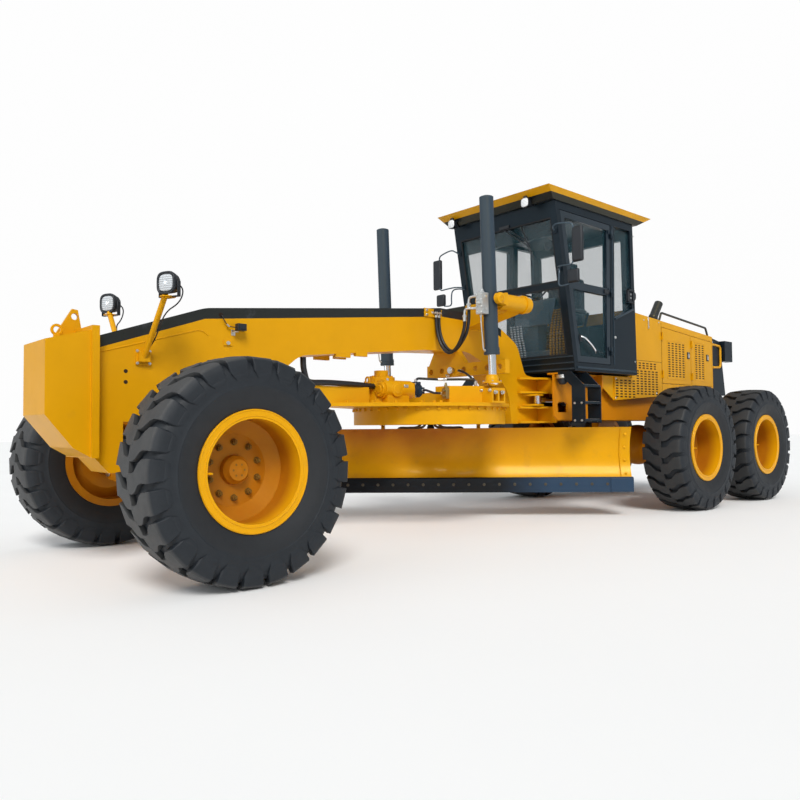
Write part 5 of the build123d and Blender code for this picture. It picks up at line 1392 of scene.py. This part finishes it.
for (side, sign), (number, route) in product(SIDES, enumerate(MIRROR_BARS, 1)):
    tube(f"mirror_bar_{side}_{number}", on_side(sign, *route), 0.0075, mirror_bar)
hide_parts("mirrors")

# ================ hood and rear
# name, body, face, columns and rows (first, last, how many), and width of the slots
GRILLES = (
    ("front_louvres", "hood_door_front_{side}", HOOD_FACE, (-2.617, -2.962, 5), (1.492, 1.884, 15), 0.046),
    ("rear_louvres", "hood_door_rear_{side}", HOOD_FACE, (-3.292, -3.468, 3), (1.492, 1.905, 16), 0.046),
    ("side_grille", "rear_body", GRILLE_FACE, (-1.863, -2.277, 6), (1.262, 1.518, 10), 0.048),
    ("step_grille", "rear_body", GRILLE_FACE, (-1.437, -1.777, 5), (1.222, 1.4, 7), 0.048),
    ("panel_grille", "rear_body", HOOD_FACE, (-1.863, -2.277, 6), (1.558, 1.612, 3), 0.048),
)
# of each door: name, its front field's outline, and x of its latch
DOOR_FIELDS = (("front", (-3.01, -2.57), (1.455, 1.915)), ("rear", (-3.51, -3.25), (1.455, 1.94)))
LATCHES, LATCH_Z = (("front", -3.085), ("rear", -3.59)), 1.762

for side, sign in SIDES:
    # the slots are dark_gap, painted shade in the openings
    for name, body, face, columns, rows, wide in GRILLES:
        mesh = bmesh.new()
        slots(mesh, sign, face, spaced(*columns), spaced(*rows), wide)
        piece(f"{name}_{side}", mesh, dark_gap, body.format(side=side), smooth=0)
    for door, (x0, x1), (z0, z1) in DOOR_FIELDS:
        mesh = bmesh.new()
        for x, z in (((x0, x1), (z0, z0 + 0.006)), ((x0, x1), (z1 - 0.006, z1)), ((x0, x0 + 0.006), (z0, z1)),
                     ((x1 - 0.006, x1), (z0, z1))):
            box(mesh, x, (0.5595, 0.5625), z, sign)
        piece(f"{door}_door_field_{side}", mesh, yellow, f"hood_door_{door}_{side}", bevel=0.001)


@sided(dark_gap, smooth=0)
def hood_seams(mesh, sign):
    box(mesh, (-2.44, -1.7), (0.5598, 0.5606), (1.64, 1.644), sign)
    box(mesh, (-2.44, -2.436), (0.5598, 0.5606), (1.27, 2.11), sign)


for (door, x), (side, sign) in product(LATCHES, SIDES):
    mesh = bmesh.new()
    box(mesh, (x - 0.03, x + 0.03), (0.5598, 0.5665), (LATCH_Z - 0.042, LATCH_Z + 0.042), sign)
    piece(f"latch_plate_{door}_{side}", mesh, black_plastic, f"hood_door_{door}_{side}", bevel=0.003)
    mesh = bmesh.new()
    box(mesh, (x - 0.017, x + 0.017), (0.566, 0.572), (LATCH_Z - 0.028, LATCH_Z + 0.02), sign)
    rod(mesh, *on_side(sign, (x, 0.566, LATCH_Z + 0.03), (x, 0.57, LATCH_Z + 0.03)), 0.007, sides=12)
    piece(f"latch_paddle_{door}_{side}", mesh, zinc, f"hood_door_{door}_{side}", bevel=0.002)


@sided(zinc, bevel=0.001, segments=1)
def hood_straps(mesh, sign):
    box(mesh, (-2.156, -2.138), (HOOD_FACE, 0.568), (2.02, 2.15), sign)
    for z in (2.04, 2.13):
        bolt(mesh, (-2.147, sign * 0.568, z), Y * sign, 0.012, 0.005)
    for x in (-1.72, -2.05, -2.38):
        bolt(mesh, (x, sign * HOOD_FACE, 2.11), Y * sign, 0.014, 0.005)
    for x, z in ((-1.41, 1.205), (-1.41, 1.415), (-2.265, 1.275)):
        bolt(mesh, (x, sign * GRILLE_FACE, z), Y * sign, 0.016, 0.006)


@sided(yellow, bevel=0.001)
def hood_gussets(mesh, sign):
    low, high = sorted((sign * HOOD_FACE, sign * 0.566))
    outline = ((-1.39, 1.18), (-1.2, 1.3), (-1.14, 1.43), (-1.39, 1.435))
    plate(mesh, [(x, low, z) for x, z in outline], Vector((0, high - low, 0)))
    box(mesh, (-1.69, -1.14), (0.5, 0.59), (1.4345, 1.4395), sign)


@sided(red_lens, bevel=0.002)
def tail_lenses(mesh, sign):
    for z in ((1.88, 1.995), (1.755, 1.865)):
        box(mesh, (-4.2535, -4.249), (0.515, 0.575), z, sign)


@single(core)
def radiator_screen(mesh):
    for y in spaced(-0.4, 0.4, 28):
        rod(mesh, (-3.948, y, 1.405), (-3.93, y, 1.875), 0.0035, sides=6)
    for z in spaced(1.42, 1.86, 16):
        x = -3.948 + (z - 1.405) * 0.038
        rod(mesh, (x, -0.415, z), (x, 0.415, z), 0.0035, sides=6)


@single(zinc)
def guard_bolts(mesh):
    for sign in SIGNS:
        for z in (1.33, 1.66, 1.98):
            bolt(mesh, (-3.775, sign * 0.535, z), Y * sign, 0.02, 0.009)
        for y in (0.46, 0.5):
            bolt(mesh, (-4.128, sign * y, 1.352), (-1, 0, 0.18), 0.02, 0.009)
    bolt_ring(mesh, (-4.085, 0, 1.12), Z, 0.04, 4, 0.014, 0.008, radians(45), False)


@single(black, bevel=0.001)
def stack_bands(mesh):
    for z in (2.19, 2.255):
        turned_shape(mesh, ((0.06, -0.006), (0.067, -0.004), (0.067, 0.004), (0.06, 0.006)), (-3.27, 0, z), Z)
    turned_shape(mesh, ((0.0, 0.05), (0.03, 0.048), (0.07, 0.035), (0.085, 0.01), (0.085, -0.03),
                        (0.06, -0.034), (0.06, -0.072), (0.0, -0.072)), (-2.05, -0.25, 2.232), Z)


# ================ what shows of the engine with its doors open
@single(engine_paint, bevel=0.006)
def engine_castings(mesh):
    for step in range(6):
        x = -2.35 - 0.165 * step
        box(mesh, (x - 0.065, x + 0.065), (-0.12, 0.12), (1.85, 1.905))
        for sign in SIGNS:
            box(mesh, (x - 0.05, x + 0.05), (0.33, 0.372), (1.56, 1.74), sign)
    for sign in SIGNS:
        box(mesh, (-3.3, -2.25), (0.329, 0.35), (1.13, 1.24), sign)
        for step in range(9):
            x = -2.3 - 0.12 * step
            rod(mesh, *on_side(sign, (x, 0.35, 1.15), (x, 0.362, 1.15)), 0.01, sides=6)


FAN_Z = 1.48


@single(zinc, bevel=0.002)
def engine_filters(mesh):
    for sign in SIGNS:
        rod(mesh, *on_side(sign, (-2.3, 0.405, 1.76), (-3.25, 0.405, 1.76)), 0.03)
        for step in range(3):
            x = -2.6 - 0.22 * step
            rod(mesh, *on_side(sign, (x, 0.405, 1.38), (x, 0.405, 1.56)), 0.048)
    rod(mesh, (-3.5, 0, FAN_Z), (-3.54, 0, FAN_Z), 0.06)
    for step in range(7):
        a = tau * step / 7
        blade = ((-3.52, 0.06, 0), (-3.535, 0.3, -0.12), (-3.505, 0.3, 0.22), (-3.505, 0.07, 0.5))
        plate(mesh, [(x, r * cos(a + turn), FAN_Z + r * sin(a + turn)) for x, r, turn in blade],
              Vector((0.004, 0, 0)))


for number, sign in enumerate(SIGNS, 1):
    route = on_side(sign, (-3.18, 0.33, 1.8), (-3.22, 0.4, 1.82), (-3.42, 0.43, 1.84), (-3.6, 0.4, 1.85),
                    (-3.69, 0.38, 1.85))
    tube(f"cooler_hose_{number}", route, 0.03)


# ================ tandem, steps and the frame's pivot
@sided(yellow, bevel=0.001)
def tandem_covers(mesh, sign):
    for x in (MIDDLE_AXLE_X, REAR_AXLE_X):
        cap(mesh, (x, sign * 0.6305, AXLE_Z), -Y * sign, (0.13, 0.012), (0.15, 0.006), (0.152, 0.0))
        bolt_ring(mesh, (x, sign * 0.6245, AXLE_Z), -Y * sign, 0.138, 10, 0.02, 0.012)
    cap(mesh, (TANDEM_X, sign * 0.8, AXLE_Z), Y * sign, (0.1, 0.01), (0.112, 0.0))
    bolt_ring(mesh, (TANDEM_X, sign * 0.806, AXLE_Z), Y * sign, 0.1, 8, 0.018, 0.01)
    bolt_ring(mesh, (TANDEM_X, sign * 0.56, AXLE_Z), -Y * sign, 0.18, 12, 0.022, 0.014)


@sided(zinc)
def tandem_plugs(mesh, sign):
    for x in (-2.4, -3.24):
        rod(mesh, *on_side(sign, (x, 0.8, 0.52), (x, 0.814, 0.52)), 0.016, sides=6)
        rod(mesh, *on_side(sign, (x, 0.72, 0.884), (x, 0.72, 0.905)), 0.018, sides=6)


@sided(zinc)
def step_treads(mesh, sign):
    for z, step in product((0.972, 1.142, 1.307), range(9)):
        x = -0.69 + 0.031 * step
        box(mesh, (x - 0.004, x + 0.004), (0.72, 0.838), (z - 0.001, z + 0.004), sign)
    for x, z, y in product((-0.44, -0.71), (0.96, 1.13), (0.735, 0.815)):
        bolt(mesh, (x + 0.012, sign * y, z), X, 0.016, 0.007)


@sided(zinc, "front_body", bevel=0.001, segments=1)
def neck_bolts(mesh, sign):
    for z, y in product((1.0, 1.06, 1.29, 1.35), (0.245, 0.3)):
        bolt(mesh, (-0.612, sign * y, z), -X, 0.026, 0.014)


@sided(barrel_blue, "articulation_barrel_{side}", bevel=0.001)
def articulation_cylinder_caps(mesh, sign):
    foot, eye = on_side(sign, (-1.5, 0.33, 1.176), (-0.45, 0.27, 1.176))
    way = (eye - foot).normalized()
    at = foot + way * 0.64
    turned_shape(mesh, ((0.028, 0.004), (0.046, 0.004), (0.0555, 0.0), (0.0555, -0.03), (0.047, -0.034),
                        (0.028, -0.034)), at, way)
    for back in (0.09, 0.54):
        rod(mesh, at - way * back + Z * 0.046, at - way * back + Z * 0.066, 0.014, sides=6)


@single(yellow, bevel=0.001)
def pivot_caps(mesh):
    for z, way, up in ((1.3655, Z, 1), (0.9845, -Z, -1)):
        cap(mesh, (PIVOT_X, 0, z), way, (0.04, 0.016), (0.052, 0.01), (0.07, 0.01), (0.074, 0.0))
        bolt_ring(mesh, (PIVOT_X, 0, z + 0.01 * up), way, 0.06, 6, 0.016, 0.01, 0, False)


for number, (y, drop) in enumerate(((0.06, 0.0), (0.02, 0.02), (-0.03, 0.01), (-0.07, 0.03)), 1):
    crossing_hose(f"joint_hose_{number}", [
        (-0.42, y * 0.9, 1.395), (-0.52, y, 1.42), (-0.64, y * 1.3, 1.4 - drop),
        (-0.82, y * 1.6, 1.385 - drop), (-1.0, y * 1.4, 1.392 - drop), (-1.15, y, 1.4), (-1.3, y, 1.385)],
        0.013, "front_body")


# ================ stage, lights and camera
def staged(name, mesh, finish, smooth=False):
    data = bpy.data.meshes.new(name)
    mesh.to_mesh(data)
    mesh.free()
    if smooth:
        data.shade_smooth()
    data.materials.append(finish)
    made = bpy.data.objects.new(name, data)
    bpy.context.scene.collection.objects.link(made)
    return made


f = Finish("floor_sheet")
sheet = f.set(Base_Color=f.mix(f.noise(0.4), (0.88, 0.88, 0.88), (0.92, 0.92, 0.92)), Roughness=0.9)
mesh = bmesh.new()
bmesh.ops.create_grid(mesh, x_segments=1, y_segments=1, size=60)
staged("floor", mesh, sheet)

f = Finish("backdrop_light")
light = f.set(Base_Color=(0.0, 0.0, 0.0), Roughness=1.0, Specular_IOR_Level=0.0,
              Emission_Color=f.mix(f.noise(0.02), (0.98, 0.98, 0.98), (1.0, 1.0, 1.0)), Emission_Strength=1.0)
mesh = bmesh.new()
bmesh.ops.create_icosphere(mesh, subdivisions=4, radius=70)
bmesh.ops.reverse_faces(mesh, faces=mesh.faces[:])
dome = staged("backdrop", mesh, light, smooth=True)
dome.visible_diffuse = dome.visible_glossy = dome.visible_transmission = dome.visible_shadow = False

world = bpy.data.worlds.new("studio")
world.use_nodes = True
background = world.node_tree.nodes["Background"]
background.inputs["Color"].default_value = (0.93, 0.97, 1.0, 1)
background.inputs["Strength"].default_value = 0.5
bpy.context.scene.world = world
bpy.context.scene.view_settings.view_transform = "Standard"

# name, where it shines from, strength, angle across it in degrees, colour
SUNS = (("key", (0.42, 0.62, 0.66), 2.5, 22, (1.0, 0.98, 0.95)), ("fill", (0.85, -0.15, 0.3), 0.7, 60,
        (0.93, 0.97, 1.0)))
for name, way, strength, spread, colour in SUNS:
    data = bpy.data.lights.new(name, "SUN")
    data.energy, data.angle, data.color = strength, radians(spread), colour
    lamp = bpy.data.objects.new(name, data)
    lamp.rotation_euler = Vector(way).to_track_quat("Z", "Y").to_euler()
    bpy.context.scene.collection.objects.link(lamp)

# where the camera stands, its heading, rise and roll in degrees, and its lens in millimetres
CAMERA_PLACE, HEADING, RISE, ROLL, LENS = (5.607, 4.931, 0.909), -131.79, 2.12, -0.49, 33.03
heading, rise, roll = (radians(a) for a in (HEADING, RISE, ROLL))
look = Vector((cos(rise) * cos(heading), cos(rise) * sin(heading), sin(rise)))
across = look.cross(Z).normalized()
up = across.cross(look)
across, up = across * cos(roll) + up * sin(roll), up * cos(roll) - across * sin(roll)
data = bpy.data.cameras.new("camera")
data.lens, data.sensor_width = LENS, 36
camera = bpy.data.objects.new("camera", data)
camera.matrix_world = Matrix.Translation(CAMERA_PLACE) @ Matrix((across, up, -look)).transposed().to_4x4()
bpy.context.scene.collection.objects.link(camera)
bpy.context.scene.camera = camera
